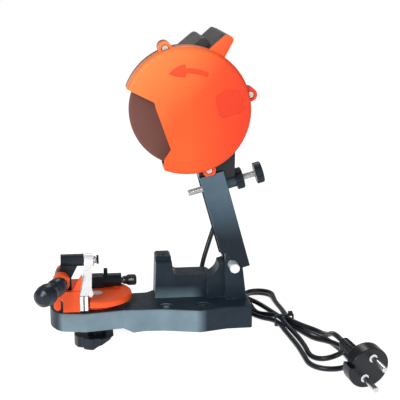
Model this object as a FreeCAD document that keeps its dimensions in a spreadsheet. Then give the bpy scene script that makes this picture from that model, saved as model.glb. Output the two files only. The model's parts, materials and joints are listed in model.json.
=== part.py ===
import FreeCAD, Part
import math
import os
import Sketcher

# Electric chainsaw sharpener, in millimetres, +Z up, +X towards the hinge end, +Y away from the user.
# The origin lies on the bench face, on the line of the vice's centre, midway between the bench bolts.

DOC = FreeCAD.newDocument("ChainsawSharpener")
SHEET = DOC.addObject("Spreadsheet::Sheet", "Sizes")

SIZE_TABLE = {
    "base casting": [
        ("base_height", 22.0), ("front_underside", 3.5), ("lip_drop", 3.2), ("bench_edge_x", -35.0),
        ("lip_width", 11.0), ("waist_front_x", -60.0), ("base_corner", 9.0), ("rear_corner", 3.0),
        ("waist_rear_x", 55.0), ("base_edge", 1.6), ("base_roof", 6.0), ("bolt_spacing", 36.6),
        ("bolt_row_y", -18.0), ("bolt_hole", 4.25), ("spotface_radius", 7.5), ("spotface_depth", 1.0),
        ("base_reach", 160.0), ("groove_inner", 14.0), ("groove_outer", 25.0), ("block_edge", 1.0),
    ],
    "stop block and column": [
        ("block_near_y", 6.0), ("block_far_y", 34.0), ("post_left_x", -26.0), ("post_right_x", -9.5),
        ("post_top", 62.6), ("post_bore", 12.0), ("post_hole", 2.0), ("post_hole_y", 19.0),
        ("gusset_near_y", 2.0), ("gusset_far_y", 23.0), ("gusset_left_x", 24.0),
        ("column_near_y", -5.0), ("column_far_y", 25.0),
        ("column_foot_left", 41.4), ("column_foot_right", 62.0), ("column_head", 7.6),
        ("spring_slot_near", 4.0), ("spring_slot_far", 16.0), ("spring_slot_floor", 58.0),
        ("stop_pin_x", 48.0), ("stop_pin_z", 57.8), ("stop_pin_radius", 4.75), ("stop_pin_end", -21.0),
    ],
    "swing arm": [
        ("hinge_x", 48.5), ("hinge_z", 70.0), ("arm_lean", 15.5), ("arm_half", 12.0), ("arm_length", 81.0),
        ("cheek_thick", 3.6), ("web_thick", 4.0), ("heel_drop", 16.7), ("arm_edge", 1.2),
        ("hinge_pin_radius", 3.5), ("top_plate", 4.0), ("running_gap", 0.05), ("part_gap", 0.3),
        ("rod_height", 65.0), ("rod_radius", 3.0), ("rod_tip", -25.8), ("rod_knob_in", 42.0),
        ("rod_knob_out", 50.0), ("rod_bush_radius", 7.0), ("rod_bush_out", 22.2), ("lock_knob_out", 29.6),
        ("star_radius", 10.5), ("star_notch", 2.6), ("spring_wire", 0.9), ("spring_coil", 5.8),
        ("spring_pitch", 1.9), ("spring_turns", 5.0), ("spring_leg", 24.0), ("pin_clip_radius", 5.5),
        ("pin_clip_thick", 1.0), ("arm_near_y", -9.0), ("arm_width", 38.0), ("arm_skirt", 5.5),
        ("heel_left", 1.35), ("stop_pin_swing", 12.2), ("pin_sweep_gap", 0.45), ("notch_left", 6.61),
        ("notch_drop", 6.87), ("notch_top", 2.3), ("knob_edge", 1.0), ("pin_chamfer", 0.6),
        ("pin_cover", 1.2), ("pin_proud", 1.6), ("rod_y", 12.0), ("neck_screw_u", 3.4),
        ("neck_screw_near_y", 5.5), ("neck_screw_far_y", 20.0), ("star_bite", 1.2), ("star_lobes", 8.0),
        ("spring_side", 1.0), ("spring_foot", 5.0), ("clear_gap", 1.0),
    ],
    "head": [
        ("wheel_x", 3.4), ("wheel_z", 210.0), ("wheel_radius", 54.0), ("wheel_thick", 3.2),
        ("wheel_bore", 11.5), ("guard_radius", 60.0), ("guard_wall", 2.6), ("guard_face_y", -17.0),
        ("guard_rear_y", 2.0), ("guard_edge", 4.5), ("cup_rear_y", 12.0), ("cup_plate", 3.0),
        ("ear_circle", 61.0), ("ear_radius", 6.3), ("ear_face_y", -11.0), ("ear_one", 109.3),
        ("ear_two", 13.2), ("ear_three", 289.8), ("screw_head", 2.8), ("screw_seat", 3.7),
        ("screw_head_tall", 2.2), ("screw_shank", 1.9), ("badge_depth", 0.7), ("can_radius", 46.5),
        ("can_wall", 3.5), ("can_rear_y", 100.0), ("can_end", 3.0), ("handle_near_y", -9.0),
        ("handle_far_y", 97.0), ("tab_near_y", -13.0), ("bump_near_y", 14.0), ("neck_near_y", -6.0),
        ("neck_far_y", 28.0), ("neck_skirt", 8.0), ("neck_reach", 9.0), ("lug_circle", 50.0),
        ("lug_radius", 5.0), ("lug_depth", 14.0), ("lug_screw", 2.0), ("arm_screw", 2.5),
        ("arm_screw_head", 4.2), ("arm_screw_tall", 3.5), ("arm_screw_reach", 9.0), ("vent_count", 9.0),
        ("vent_inner", 18.0), ("vent_outer", 38.0), ("vent_wide", 3.2), ("screw_cross", 2.0),
        ("lug_one", 125.0), ("lug_two", 255.0), ("lug_three", 345.0), ("lug_head", 3.4),
        ("lug_head_sink", 4.0), ("can_edge", 4.0), ("switch_z", 5.0), ("switch_rise", 1.5),
        ("switch_root", 38.0),
    ],
    "spindle and motor": [
        ("spindle_radius", 5.0), ("spindle_front_y", -14.0), ("spindle_rear", 4.0),
        ("shoulder_radius", 7.0), ("flange_radius", 18.0), ("inner_flange_thick", 6.0),
        ("outer_flange_thick", 3.0), ("nut_across", 16.0), ("nut_tall", 6.0), ("bearing_outer", 13.0),
        ("bearing_wide", 8.0), ("bearing_front_y", 11.0), ("rear_bearing_outer", 11.0),
        ("rear_bearing_wide", 7.0), ("boss_wall", 4.0), ("core_near_y", 36.0), ("core_far_y", 69.0),
        ("core_radius", 23.8), ("core_slots", 12.0), ("core_slot_wide", 3.0), ("core_slot_deep", 9.0),
        ("winding_over", 6.5), ("air_gap", 0.8), ("stator_outer", 43.0), ("pole_half", 12.0),
        ("coil_half", 19.0), ("coil_low", 25.3), ("coil_high", 29.2), ("coil_over", 6.0),
        ("commutator_radius", 13.0), ("commutator_near_y", 77.0), ("commutator_far_y", 87.5),
        ("brush_half", 3.0), ("brush_length", 13.0), ("brush_wall", 1.0), ("brush_tube", 26.0),
        ("brush_wire", 0.4), ("fan_near_y", 21.0), ("fan_far_y", 27.5), ("fan_radius", 39.0),
        ("fan_plate", 1.5), ("fan_blades", 9.0), ("switch_near_y", 78.0), ("switch_far_y", 94.0),
        ("switch_half", 6.5), ("switch_inner", 27.0), ("switch_bezel", 2.0), ("switch_pad", 4.5),
        ("rocker_gap", 0.4), ("rocker_rise", 1.4), ("relief_angle", -69.6), ("relief_y", 80.0),
        ("relief_length", 33.0), ("relief_root", 5.5), ("relief_tip", 3.3), ("hex_step", 60.0),
        ("ring_share", 0.3), ("seal_set", 0.6), ("wheel_bevel", 0.5), ("winding_drop", 1.8),
        ("bar_count", 20.0), ("bar_deep", 1.0), ("bar_gap", 0.8), ("brush_stand", 1.0),
        ("brush_turns", 6.0), ("fan_hub", 9.0), ("fan_sweep", 8.0), ("stator_side", 21.5),
        ("switch_lip", 1.5), ("rocker_deep", 3.5), ("rocker_root", 5.0), ("rocker_taper", 0.7),
        ("rocker_valley", 0.1), ("pivot_radius", 0.8), ("pivot_depth", 1.0), ("pivot_reach", 0.9),
        ("rocker_low", 0.6), ("relief_x", 28.2), ("relief_z", -30.3), ("relief_flange", 3.0),
    ],
    "vice": [
        ("turn_x", -85.0), ("hub_radius", 22.0), ("saucer_low", 6.0), ("saucer_high", 11.5),
        ("saucer_radius", 34.5), ("recess_radius", 24.0), ("recess_depth", 1.5), ("saucer_edge", 2.0),
        ("rail_gap_x", -11.65), ("rail_gap", 1.3), ("rail_thick", 3.0), ("rail_low", 4.0),
        ("rail_high", 18.0), ("rail_near_y", -35.0), ("rail_far_y", 30.0), ("ledge_left", -30.0),
        ("ledge_top", 17.0), ("ledge_far_y", 24.0), ("wall_near_y", -33.5), ("wall_far_y", -27.5),
        ("wall_low", 2.6), ("wall_left", -31.2), ("wall_top", 22.5), ("stop_axis_x", -32.4),
        ("stop_axis_z", 32.5), ("boss_radius", 8.0), ("boss_near_y", -38.0), ("post_near_y", -2.0),
        ("post_far_y", 4.0), ("post_half", 5.5), ("stop_screw_radius", 3.0), ("carriage_near_y", -22.0),
        ("carriage_far_y", -8.0), ("carriage_radius", 6.5), ("stem_half", 3.0), ("sleeve_z", 49.6),
        ("sleeve_y", -20.0), ("sleeve_radius", 5.8), ("sleeve_left", -32.5), ("sleeve_right", -10.8),
        ("pawl_pin_radius", 2.5), ("pawl_right", -2.3), ("pawl_half", 6.0), ("pawl_lean", 25.0),
        ("pawl_thick", 2.0), ("pawl_spring_wire", 0.4), ("pawl_spring_coil", 3.3), ("pin_head_radius", 4.2),
        ("pin_head_thick", 2.2), ("clamp_y", 20.0), ("clamp_z", 15.5), ("clamp_half", 7.0),
        ("clamp_left", -3.9), ("clamp_step", 7.8), ("clamp_right", 25.4), ("clamp_top", 21.5),
        ("barrel_radius", 7.2), ("clamp_screw_radius", 3.0), ("clamp_tip_radius", 1.9), ("clamp_tip", 2.0),
        ("collar_thick", 1.6), ("collar_radius", 3.9), ("wing_out", 40.4), ("wing_half", 5.0),
        ("wing_thick", 4.0), ("wing_hub", 4.2), ("set_screw_x", 10.0), ("set_screw_radius", 2.0),
        ("set_screw_top", 28.0), ("guide_near_y", -20.0), ("guide_far_y", 4.0), ("guide_z", 14.4),
        ("guide_radius", 1.5), ("guide_head", 2.6), ("guide_head_left", -6.1), ("guide_head_right", -4.2),
        ("lock_bolt_radius", 4.0), ("lock_bolt_head", 6.4), ("lock_bolt_head_tall", 2.6),
        ("lock_bolt_end", -14.0), ("lock_washer_radius", 11.0), ("lock_washer_thick", 1.2),
        ("lock_knob_low", -19.0), ("lock_knob_rim", -8.0), ("lock_knob_radius", 22.4),
        ("lock_knob_hub", 9.0), ("lock_knob_lobes", 8.0), ("lock_knob_notch", 5.0), ("lock_knob_bite", 2.2),
        ("grip_waist", 7.4), ("grip_middle", 8.6), ("grip_ball", 10.0), ("grip_length", 36.0),
        ("grip_start", -42.5), ("grip_out_x", -13.1), ("grip_out_y", -22.0), ("grip_out_z", -2.8),
        ("boss_far_y", -26.8), ("rail_edge", 0.8), ("rail_floor", 3.9), ("jaw_room", 2.0),
        ("guide_grip", 6.0), ("clamp_floor", 10.0), ("barrel_floor", 11.6), ("collar_left", 26.6),
        ("wing_hub_length", 4.0), ("wing_cap", 2.5), ("wing_corner", 2.5), ("sleeve_end", 2.0),
        ("pin_end", 2.5), ("pin_head_gap", 3.2), ("pawl_spring_pitch", 0.95), ("pawl_spring_turns", 2.0),
        ("pawl_spring_tail", 14.0), ("stop_screw_over", 2.0), ("stop_screw_start", -48.0),
        ("stop_collar_radius", 5.5), ("stop_collar_long", 3.5), ("grip_root_y", -40.0),
        ("grip_share_one", 0.15), ("grip_share_two", 0.3), ("grip_share_three", 0.4),
        ("grip_share_four", 0.46), ("grip_share_five", 0.62), ("grip_share_six", 0.76),
        ("grip_share_seven", 0.92), ("grip_shoulder", 0.85), ("grip_crown", 0.45), ("hex_share", 0.75),
    ],
    "mains lead": [
        ("cord_radius", 2.4), ("plug_face_radius", 18.5), ("plug_depth", 12.0), ("plug_pin_spacing", 19.0),
        ("plug_pin_radius", 2.4), ("plug_pin_root", 1.8), ("plug_pin_length", 19.0),
        ("plug_collar_length", 7.0), ("plug_tail_radius", 5.0), ("plug_tail_length", 24.0),
        ("tie_width", 4.0), ("tie_thick", 1.2), ("hank_high", 10.0), ("bend_share", 0.45),
        ("tube_tolerance", 0.02), ("cord_first_run", 12.0), ("cord_last_run", 14.0), ("tie_y", -25.0),
        ("tie_left", 88.0), ("tie_right", 104.0), ("tie_head", 4.0), ("plug_x", 137.0), ("plug_y", -181.0),
        ("plug_z", 18.0), ("plug_out_x", 0.26), ("plug_out_y", -0.95), ("plug_out_z", -0.17),
        ("plug_roll", -0.3), ("plug_edge", 1.0), ("plug_notch", 14.0), ("plug_notch_half", 2.2),
        ("pin_tip", 0.8),
    ],
}

# Outlines by corner: (x, y) or (x, y, signed radius of the arc to the next corner).
OUTLINE_TABLE = {
    "base": [
        (64.5, -27.2), (64.5, 27.2), (40.0, 28.0), (31.0, 35.5), (-26.0, 35.5), (-35.0, 26.0),
        (-60.0, 25.0), (-96.0, 31.7), (-118.5, 27.4, 39.5), (-118.5, -27.4), (-96.0, -31.7),
        (-60.0, -25.1), (-22.0, -26.5), (13.6, -35.0), (39.7, -27.8),
    ],
    "block": [
        (-27.3, 21.0), (31.0, 21.0), (31.0, 36.5, 8.0), (23.0, 44.5), (-3.6, 44.5, -6.0), (-9.6, 50.5),
        (-10.4, 61.0), (-12.0, 62.6), (-24.4, 62.6), (-26.0, 61.0),
    ],
    "gusset": [
        (24.0, 21.0), (44.0, 21.0), (44.0, 59.0), (35.4, 56.5, -13.5), (24.0, 44.0),
    ],
    "pocket_far": [(-22.0, 5.0), (56.0, 5.0), (56.0, 21.0), (36.0, 22.0), (28.0, 29.0), (-22.0, 29.0)],
    "pocket_near_left": [(-29.0, 5.0), (-52.0, 5.0), (-52.0, 18.0), (-29.0, 19.0)],
    "pocket_near_middle": [(-8.5, -25.0), (8.5, -27.0), (8.5, -5.0), (-8.5, -5.0)],
    "pocket_near_right": [(29.0, -22.0), (57.0, -21.0), (57.0, -5.0), (29.0, -5.0)],
    "window": [
        (-80.0, 22.0), (-57.0, 22.0), (-50.8, 18.6), (-33.5, 10.0, -5.0), (-30.1, 4.7), (-15.8, -35.9),
        (-21.5, -44.3), (-23.0, -50.0), (-22.0, -54.4), (-20.0, -80.0), (-80.0, -80.0),
    ],
    "tab": [(12.0, 45.0), (30.0, 40.0), (42.4, 63.3, 3.4), (38.9, 68.3, 3.4), (34.8, 69.0), (18.7, 55.2)],
    "handle": [(12.0, 40.0), (30.0, 36.0), (42.4, 63.3, 3.4), (38.9, 68.3, 3.4), (34.8, 69.0), (18.7, 55.2)],
    "handle_hollow": [(20.0, 47.0), (28.5, 44.0), (38.0, 62.5), (36.0, 65.0), (21.5, 53.0)],
    "bump": [(-1.0, 42.0), (24.0, 38.0), (23.0, 60.0, 5.0), (16.6, 64.6), (14.6, 63.5), (-0.4, 51.0)],
    "neck_top": [(46.1, -38.0), (42.0, -28.0), (10.0, -28.0)],
    "arrow": [
        (-17.4, 34.6, 31.0), (-1.3, 31.7), (-1.3, 35.1, -43.6), (17.8, 31.4), (20.1, 35.3, 40.7), (-1.3, 40.0),
        (-2.4, 43.8, 22.4),
    ],
    "badge": [
        (28.3, -1.7, 6.5), (36.6, -6.7), (48.3, -3.2, 6.5), (52.8, 4.4),
        (50.3, 16.0, 6.5), (42.3, 20.9), (30.7, 17.8, 6.5), (26.0, 10.3),
    ],
    "pillar": [
        (-40.0, 9.0, 4.6), (-36.0, 4.4), (-33.4, 6.0), (-33.4, 15.5), (-29.0, 17.0), (-29.0, 26.0),
        (-25.0, 31.0), (-39.0, 31.0),
    ],
    "fin": [(-23.6, 21.5), (-17.0, 21.5), (-14.2, 26.0), (-13.2, 34.0), (-12.9, 38.6)],
    "rear_post": [(-37.9, 6.0), (-26.9, 6.0), (-26.9, 32.5), (-37.9, 32.5)],
    "stem": [
        (-32.8, 17.2), (-22.9, 17.2), (-22.9, 33.0), (-17.3, 44.0), (-17.3, 49.6), (-32.4, 49.6),
        (-34.0, 36.0),
    ],
    "pawl": [
        (-10.4, -3.0), (-10.4, -7.0), (-11.9, -8.6), (-12.3, -18.0), (-13.2, -27.0), (-15.0, -33.0),
        (-15.0, -34.2), (-6.6, -34.2), (-4.6, -36.0), (-2.6, -33.0), (-4.2, -27.0), (-3.2, -3.0),
    ],
    "hank": [
        (72.0, 0.0), (88.0, -20.0), (88.0, -30.0), (92.0, -70.0), (95.0, -100.0), (103.0, -134.0),
        (114.0, -150.0), (128.0, -145.0), (137.0, -120.0), (134.0, -103.0), (128.0, -96.0), (121.0, -90.0),
        (114.0, -62.0), (123.3, -58.5), (104.0, -30.0), (104.0, -20.0), (98.0, 20.0), (92.0, 50.0),
        (82.0, 68.0), (74.0, 64.0), (72.0, 58.0),
    ],
    "cord_drop": [
        (48.5, 78.0, 118.0), (45.0, 72.0, 98.0), (39.0, 65.0, 79.0), (31.5, 59.0, 60.0),
        (25.0, 55.0, 41.0), (22.0, 54.0, 20.0), (37.0, 54.0, 4.0), (56.0, 52.0, 2.6), (72.0, 50.5, 2.6),
    ],
    "cord_rise": [
        (118.65, -60.25, 6.2), (124.0, -75.0, 7.6), (127.6, -91.0, 13.6), (126.0, -107.0, 21.5),
    ],
}


class Size:
    """A length or ratio that keeps its value and the sheet expression that gives it."""

    def __init__(self, text, value):
        self.text = text
        self.value = value

    def __add__(self, other):
        other = as_size(other)
        return Size(f"({self.text} + {other.text})", self.value + other.value)

    def __sub__(self, other):
        other = as_size(other)
        return Size(f"({self.text} - {other.text})", self.value - other.value)

    def __mul__(self, other):
        other = as_size(other)
        return Size(f"({self.text} * {other.text})", self.value * other.value)

    def __truediv__(self, other):
        other = as_size(other)
        return Size(f"({self.text} / {other.text})", self.value / other.value)

    def __neg__(self):
        return Size(f"(0 - {self.text})", -self.value)

    def __radd__(self, other):
        return as_size(other) + self

    def __rsub__(self, other):
        return as_size(other) - self

    def __rmul__(self, other):
        return as_size(other) * self


def as_size(number):
    if isinstance(number, Size):
        return number
    return Size(repr(float(number)), float(number))


class Sizes:
    """The named sizes of the sheet, as attributes."""


def outline_entries():
    """The outline table as named sizes, with the names of each corner's numbers."""
    entries = {}
    aliases = {}
    for name, corners in OUTLINE_TABLE.items():
        entries[f"outline {name}"] = []
        aliases[name] = []
        for index, corner in enumerate(corners):
            names = [f"{name}_{part}_{index}" for part in ("along", "across", "third")[:len(corner)]]
            entries[f"outline {name}"] += list(zip(names, corner))
            aliases[name].append(names)
    return entries, aliases


def fill_sheet():
    """Write every named size to the sheet and return them as bound sizes."""
    sizes = Sizes()
    row = 1
    for heading, entries in {**SIZE_TABLE, **OUTLINE_ENTRIES}.items():
        SHEET.set(f"A{row}", heading)
        row += 1
        for name, number in entries:
            SHEET.set(f"A{row}", name)
            SHEET.set(f"B{row}", str(number))
            SHEET.setAlias(f"B{row}", name)
            setattr(sizes, name, Size(f"Sizes.{name}", number))
            row += 1
    DOC.recompute()
    return sizes


OUTLINE_ENTRIES, OUTLINE_ALIASES = outline_entries()
S = fill_sheet()
ZERO = as_size(0)
ORIGIN = (ZERO, ZERO, ZERO)
AXIS_X = FreeCAD.Vector(1, 0, 0)
AXIS_Y = FreeCAD.Vector(0, 1, 0)
AXIS_Z = FreeCAD.Vector(0, 0, 1)
NODES = []
QUARTER = as_size(90)
TO_X = (AXIS_Y, QUARTER)
TO_Y = (-AXIS_X, QUARTER)
HEX_SIDES = 6
SQUARE_TO_ROW = 0.01
CLEAR = 1


# ---------------------------------------------------------------- modelling helpers

def bind(item, prop, size):
    item.setExpression(prop, as_size(size).text)


def cosine(angle):
    return Size(f"cos({angle.text} * 1deg)", math.cos(math.radians(angle.value)))


def sine(angle):
    return Size(f"sin({angle.text} * 1deg)", math.sin(math.radians(angle.value)))


def place(item, at=ORIGIN, turn=None):
    """Put an object at a bound point, turned about an axis by a bound angle in degrees."""
    if turn is not None:
        axis, angle = turn
        start = FreeCAD.Rotation(axis, angle.value)
        item.Placement = FreeCAD.Placement(FreeCAD.Vector(0, 0, 0), start)
        bind(item, "Placement.Rotation.Angle", angle)
    for axis, size in zip("xyz", at):
        bind(item, f"Placement.Base.{axis}", size)


def new_body(label, at=ORIGIN, turn=None):
    body = DOC.addObject("PartDesign::Body", label)
    body.Label = label
    place(body, at, turn)
    NODES.append(body)
    return body


def origin_plane(body, role):
    return [item for item in body.Origin.OriginFeatures if item.Role == role][0]


def circle(x, y, radius):
    return ("circle", as_size(x), as_size(y), as_size(radius))


def polygon(*points):
    """A closed outline of (x, y) corners; a third number is the signed radius of an arc to the next."""
    return ("polygon", [tuple(as_size(number) for number in point) for point in points])


def box(x_low, y_low, x_high, y_high):
    return polygon((x_low, y_low), (x_high, y_low), (x_high, y_high), (x_low, y_high))


def hold(sketch, kind, geometry, vertex, size):
    """Fix one coordinate of a sketch point to a size."""
    if size.text == ZERO.text:
        axis = -2 if kind == "DistanceX" else -1
        sketch.addConstraint(Sketcher.Constraint("PointOnObject", geometry, vertex, axis))
        return
    index = sketch.addConstraint(Sketcher.Constraint(kind, -1, 1, geometry, vertex, size.value))
    bind(sketch, f"Constraints[{index}]", size)


def arc_between(start, end, radius):
    """An arc shorter than half a turn; a positive radius runs counter-clockwise."""
    half = (end - start) * 0.5
    across = FreeCAD.Vector(-half.y, half.x, 0).normalize()
    rise = math.copysign(math.sqrt(radius ** 2 - half.Length ** 2), radius)
    centre = start + half + across * rise
    angles = [math.atan2(point.y - centre.y, point.x - centre.x) for point in (start, end)]
    if radius < 0:
        angles.reverse()
    return Part.ArcOfCircle(Part.Circle(centre, AXIS_Z, abs(radius)), *angles)


def draw(sketch, outline):
    if outline[0] == "circle":
        centre_x, centre_y, radius = outline[1:]
        centre = FreeCAD.Vector(centre_x.value, centre_y.value, 0)
        geometry = sketch.addGeometry(Part.Circle(centre, AXIS_Z, radius.value), False)
        hold(sketch, "DistanceX", geometry, 3, centre_x)
        hold(sketch, "DistanceY", geometry, 3, centre_y)
        index = sketch.addConstraint(Sketcher.Constraint("Radius", geometry, radius.value))
        bind(sketch, f"Constraints[{index}]", radius)
        return
    points = outline[1]
    corners = [FreeCAD.Vector(point[0].value, point[1].value, 0) for point in points]
    pieces = []
    for i, point in enumerate(points):
        start, end = corners[i], corners[(i + 1) % len(corners)]
        if len(point) == 2:
            pieces.append((sketch.addGeometry(Part.LineSegment(start, end), False), 1, 2))
            continue
        radius = point[2]
        arc = sketch.addGeometry(arc_between(start, end, radius.value), False)
        pieces.append((arc, 1, 2) if radius.value > 0 else (arc, 2, 1))
        index = sketch.addConstraint(Sketcher.Constraint("Radius", arc, abs(radius.value)))
        bind(sketch, f"Constraints[{index}]", radius if radius.value > 0 else -radius)
    for i, (piece, _, last) in enumerate(pieces):
        following, first, _ = pieces[(i + 1) % len(pieces)]
        sketch.addConstraint(Sketcher.Constraint("Coincident", piece, last, following, first))
    for (piece, first, _), point in zip(pieces, points):
        hold(sketch, "DistanceX", piece, first, point[0])
        hold(sketch, "DistanceY", piece, first, point[1])


def new_sketch(body, plane, level, outlines):
    """A sketch of closed outlines on one of the body's own planes, at a level along its normal."""
    sketch = body.newObject("Sketcher::SketchObject", f"{body.Name}_outline")
    sketch.AttachmentSupport = [(origin_plane(body, f"{plane}_Plane"), "")]
    sketch.MapMode = "FlatFace"
    bind(sketch, "AttachmentOffset.Base.z", level)
    for outline in outlines:
        draw(sketch, outline)
    return sketch


def level_of(plane, low, high):
    """Where a sketch stands so that its feature runs along its normal from low to high."""
    return -as_size(high) if plane == "XZ" else as_size(low)


def extrude(body, plane, low, high, *outlines):
    pad = body.newObject("PartDesign::Pad", f"{body.Name}_pad")
    pad.Profile = new_sketch(body, plane, level_of(plane, low, high), outlines)
    bind(pad, "Length", as_size(high) - low)
    body.Tip = pad
    DOC.recompute()
    return pad


def cut(body, plane, low, high, *outlines):
    before = body.Shape.Volume
    pocket = body.newObject("PartDesign::Pocket", f"{body.Name}_pocket")
    pocket.Profile = new_sketch(body, plane, level_of(plane, low, high), outlines)
    pocket.Reversed = True
    bind(pocket, "Length", as_size(high) - low)
    body.Tip = pocket
    DOC.recompute()
    if body.Shape.Volume >= before:
        raise RuntimeError(f"a pocket of {body.Label} cuts nothing")
    return pocket


def repeat(body, feature, axis_role, count):
    """Copy a feature round one of the body's own axes."""
    pattern = body.newObject("PartDesign::PolarPattern", f"{body.Name}_pattern")
    pattern.Originals = [feature]
    axis = [item for item in body.Origin.OriginFeatures if item.Role == axis_role][0]
    pattern.Axis = (axis, [""])
    pattern.Angle = 360
    bind(pattern, "Occurrences", count)
    body.Tip = pattern
    DOC.recompute()
    return pattern


def round_edges(body, radius, chosen):
    """Round the edges of the body's tip for which chosen(edge) is true."""
    base = body.Tip
    names = [f"Edge{i + 1}" for i, edge in enumerate(base.Shape.Edges) if chosen(edge)]
    if not names:
        raise RuntimeError(f"no edge to round on {body.Label}")
    fillet = body.newObject("PartDesign::Fillet", f"{body.Name}_fillet")
    fillet.Base = (base, names)
    bind(fillet, "Radius", radius)
    body.Tip = fillet
    DOC.recompute()
    if "Invalid" in fillet.State or not fillet.Shape.isValid():
        raise RuntimeError(f"a rounding of {body.Label} fails")
    return fillet


def turned(label, profile, at=ORIGIN, turn=None):
    """A round piece: (radius, height) points revolved about an axis through a bound point."""
    body = new_body(label, at, turn)
    revolution = body.newObject("PartDesign::Revolution", f"{label}_turn")
    sketch = new_sketch(body, "XZ", ZERO, [polygon(*profile)])
    revolution.Profile = sketch
    revolution.ReferenceAxis = (sketch, ["V_Axis"])
    revolution.Angle = 360
    body.Tip = revolution
    DOC.recompute()
    return body


def tube_profile(inner, outer, low, high):
    return [(inner, low), (outer, low), (outer, high), (inner, high)]


def primitive(kind, at=ORIGIN, turn=None, **sizes):
    item = DOC.addObject(f"Part::{kind}", kind)
    for prop, size in sizes.items():
        bind(item, prop, size)
    place(item, at, turn)
    return item


def shaped(label, shape):
    feature = DOC.addObject("Part::Feature", label)
    feature.Shape = shape
    feature.Label = label
    NODES.append(feature)
    return feature


def direction_of(edge):
    ends = [vertex.Point for vertex in edge.Vertexes]
    if len(ends) < 2:
        return FreeCAD.Vector(0, 0, 0)
    span = ends[1] - ends[0]
    return span.normalize() if span.Length else span


def off_axis(edge, axis):
    """Sine of the angle between the line through the edge's ends and an axis; 1 for a closed edge."""
    span = direction_of(edge)
    return span.cross(axis).Length if span.Length else 1


def runs_along(edge, axis):
    straight = isinstance(edge.Curve, (Part.Line, Part.LineSegment))
    return straight and off_axis(edge, axis) < SQUARE_TO_ROW


def lies_at(edge, axis, level):
    """True when the whole edge lies on the plane at a level along an axis."""
    box_ = edge.BoundBox
    low = FreeCAD.Vector(box_.XMin, box_.YMin, box_.ZMin).dot(axis)
    high = FreeCAD.Vector(box_.XMax, box_.YMax, box_.ZMax).dot(axis)
    return abs(low - level) < SQUARE_TO_ROW and abs(high - level) < SQUARE_TO_ROW


def arm_point(u, y, w):
    """A point given across and along the leaning arm from its hinge."""
    lean_cos = cosine(S.arm_lean)
    lean_sin = sine(S.arm_lean)
    return (S.hinge_x + lean_cos * u - lean_sin * w, as_size(y), S.hinge_z + lean_sin * u + lean_cos * w)


def vice_point(x, y, z):
    return (S.turn_x + x, as_size(y), S.base_height + z)


def head_point(x, y, z):
    return (S.wheel_x + x, as_size(y), S.wheel_z + z)


def round_point(radius, degrees):
    """The cosine and sine legs of a point on a circle at a bound angle in degrees."""
    return as_size(radius) * cosine(degrees), as_size(radius) * sine(degrees)


def hexagon(corner):
    """A six-sided outline by the circle through its corners."""
    return polygon(*[round_point(corner, S.hex_step * i) for i in range(HEX_SIDES)])


def outline_points(name):
    """A named outline of the sheet as bound points."""
    return [tuple(getattr(S, alias) for alias in aliases) for aliases in OUTLINE_ALIASES[name]]


# ---------------------------------------------------------------- base casting and its fasteners

def make_base():
    body = new_body("base_casting")
    extrude(body, "XY", -S.lip_drop, S.base_height, polygon(*outline_points("base")))
    far_left = -S.base_reach * 2
    under = polygon((far_left, -S.base_height), (far_left, S.front_underside),
                    (S.waist_front_x, S.front_underside), (S.bench_edge_x - S.lip_width, -S.lip_drop),
                    (S.bench_edge_x, -S.lip_drop), (S.bench_edge_x, ZERO), (S.base_reach, ZERO),
                    (S.base_reach, -S.base_height))
    rear = S.waist_rear_x.value
    round_edges(body, S.base_corner, lambda edge: rises(edge) and edge.BoundBox.XMax < rear)
    round_edges(body, S.rear_corner, lambda edge: rises(edge) and edge.BoundBox.XMin > rear)
    round_edges(body, S.base_edge, lambda edge: lies_at(edge, AXIS_Z, S.base_height.value))
    cut(body, "XZ", -S.base_reach, S.base_reach, under)
    extrude(body, "XZ", S.block_near_y, S.block_far_y, polygon(*outline_points("block")))
    extrude(body, "XZ", S.gusset_near_y, S.gusset_far_y, polygon(*outline_points("gusset")))
    column = [(S.column_foot_left, S.base_height - CLEAR), (S.column_foot_right, S.base_height - CLEAR),
              (S.hinge_x + S.column_head, S.hinge_z, S.column_head),
              (S.hinge_x, S.hinge_z + S.column_head, S.column_head), (S.hinge_x - S.column_head, S.hinge_z)]
    extrude(body, "XZ", S.column_near_y, S.column_far_y, polygon(*column))
    half_slot = S.base_reach
    cut(body, "XZ", S.spring_slot_near, S.spring_slot_far,
        box(S.hinge_x - half_slot, S.spring_slot_floor, S.hinge_x + half_slot, S.hinge_z + half_slot))
    cut(body, "XZ", S.column_near_y - CLEAR, S.column_far_y + CLEAR,
        circle(S.hinge_x, S.hinge_z, S.hinge_pin_radius))
    cut(body, "XZ", S.column_near_y - CLEAR, S.spring_slot_near + CLEAR,
        circle(S.stop_pin_x, S.stop_pin_z, S.stop_pin_radius))
    cut(body, "XY", S.post_top - S.post_bore, S.post_top + CLEAR,
        circle((S.post_left_x + S.post_right_x) / 2, S.post_hole_y, S.post_hole))
    bolts = [circle(side * S.bolt_spacing / 2, S.bolt_row_y, S.bolt_hole) for side in (-1, 1)]
    cut(body, "XY", -S.base_height, S.base_height + CLEAR, *bolts)
    seats = [circle(side * S.bolt_spacing / 2, S.bolt_row_y, S.spotface_radius) for side in (-1, 1)]
    cut(body, "XY", S.base_height - S.spotface_depth, S.base_height + CLEAR, *seats)
    cut(body, "XY", -S.base_height, S.base_height + CLEAR,
        circle(S.turn_x, ZERO, S.lock_bolt_radius + S.running_gap))
    roof = S.base_height - S.base_roof
    for name in ("pocket_far", "pocket_near_left", "pocket_near_middle", "pocket_near_right"):
        cut(body, "XY", -S.base_height, roof, polygon(*outline_points(name)))
    turned_cut(body, S.turn_x, tube_profile(S.groove_inner, S.groove_outer, ZERO, roof))
    round_edges(body, S.block_edge, on_block_rim)
    return body


def rises(edge):
    """True for the upright corner edges of the base."""
    return off_axis(edge, AXIS_Z) < SQUARE_TO_ROW


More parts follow.
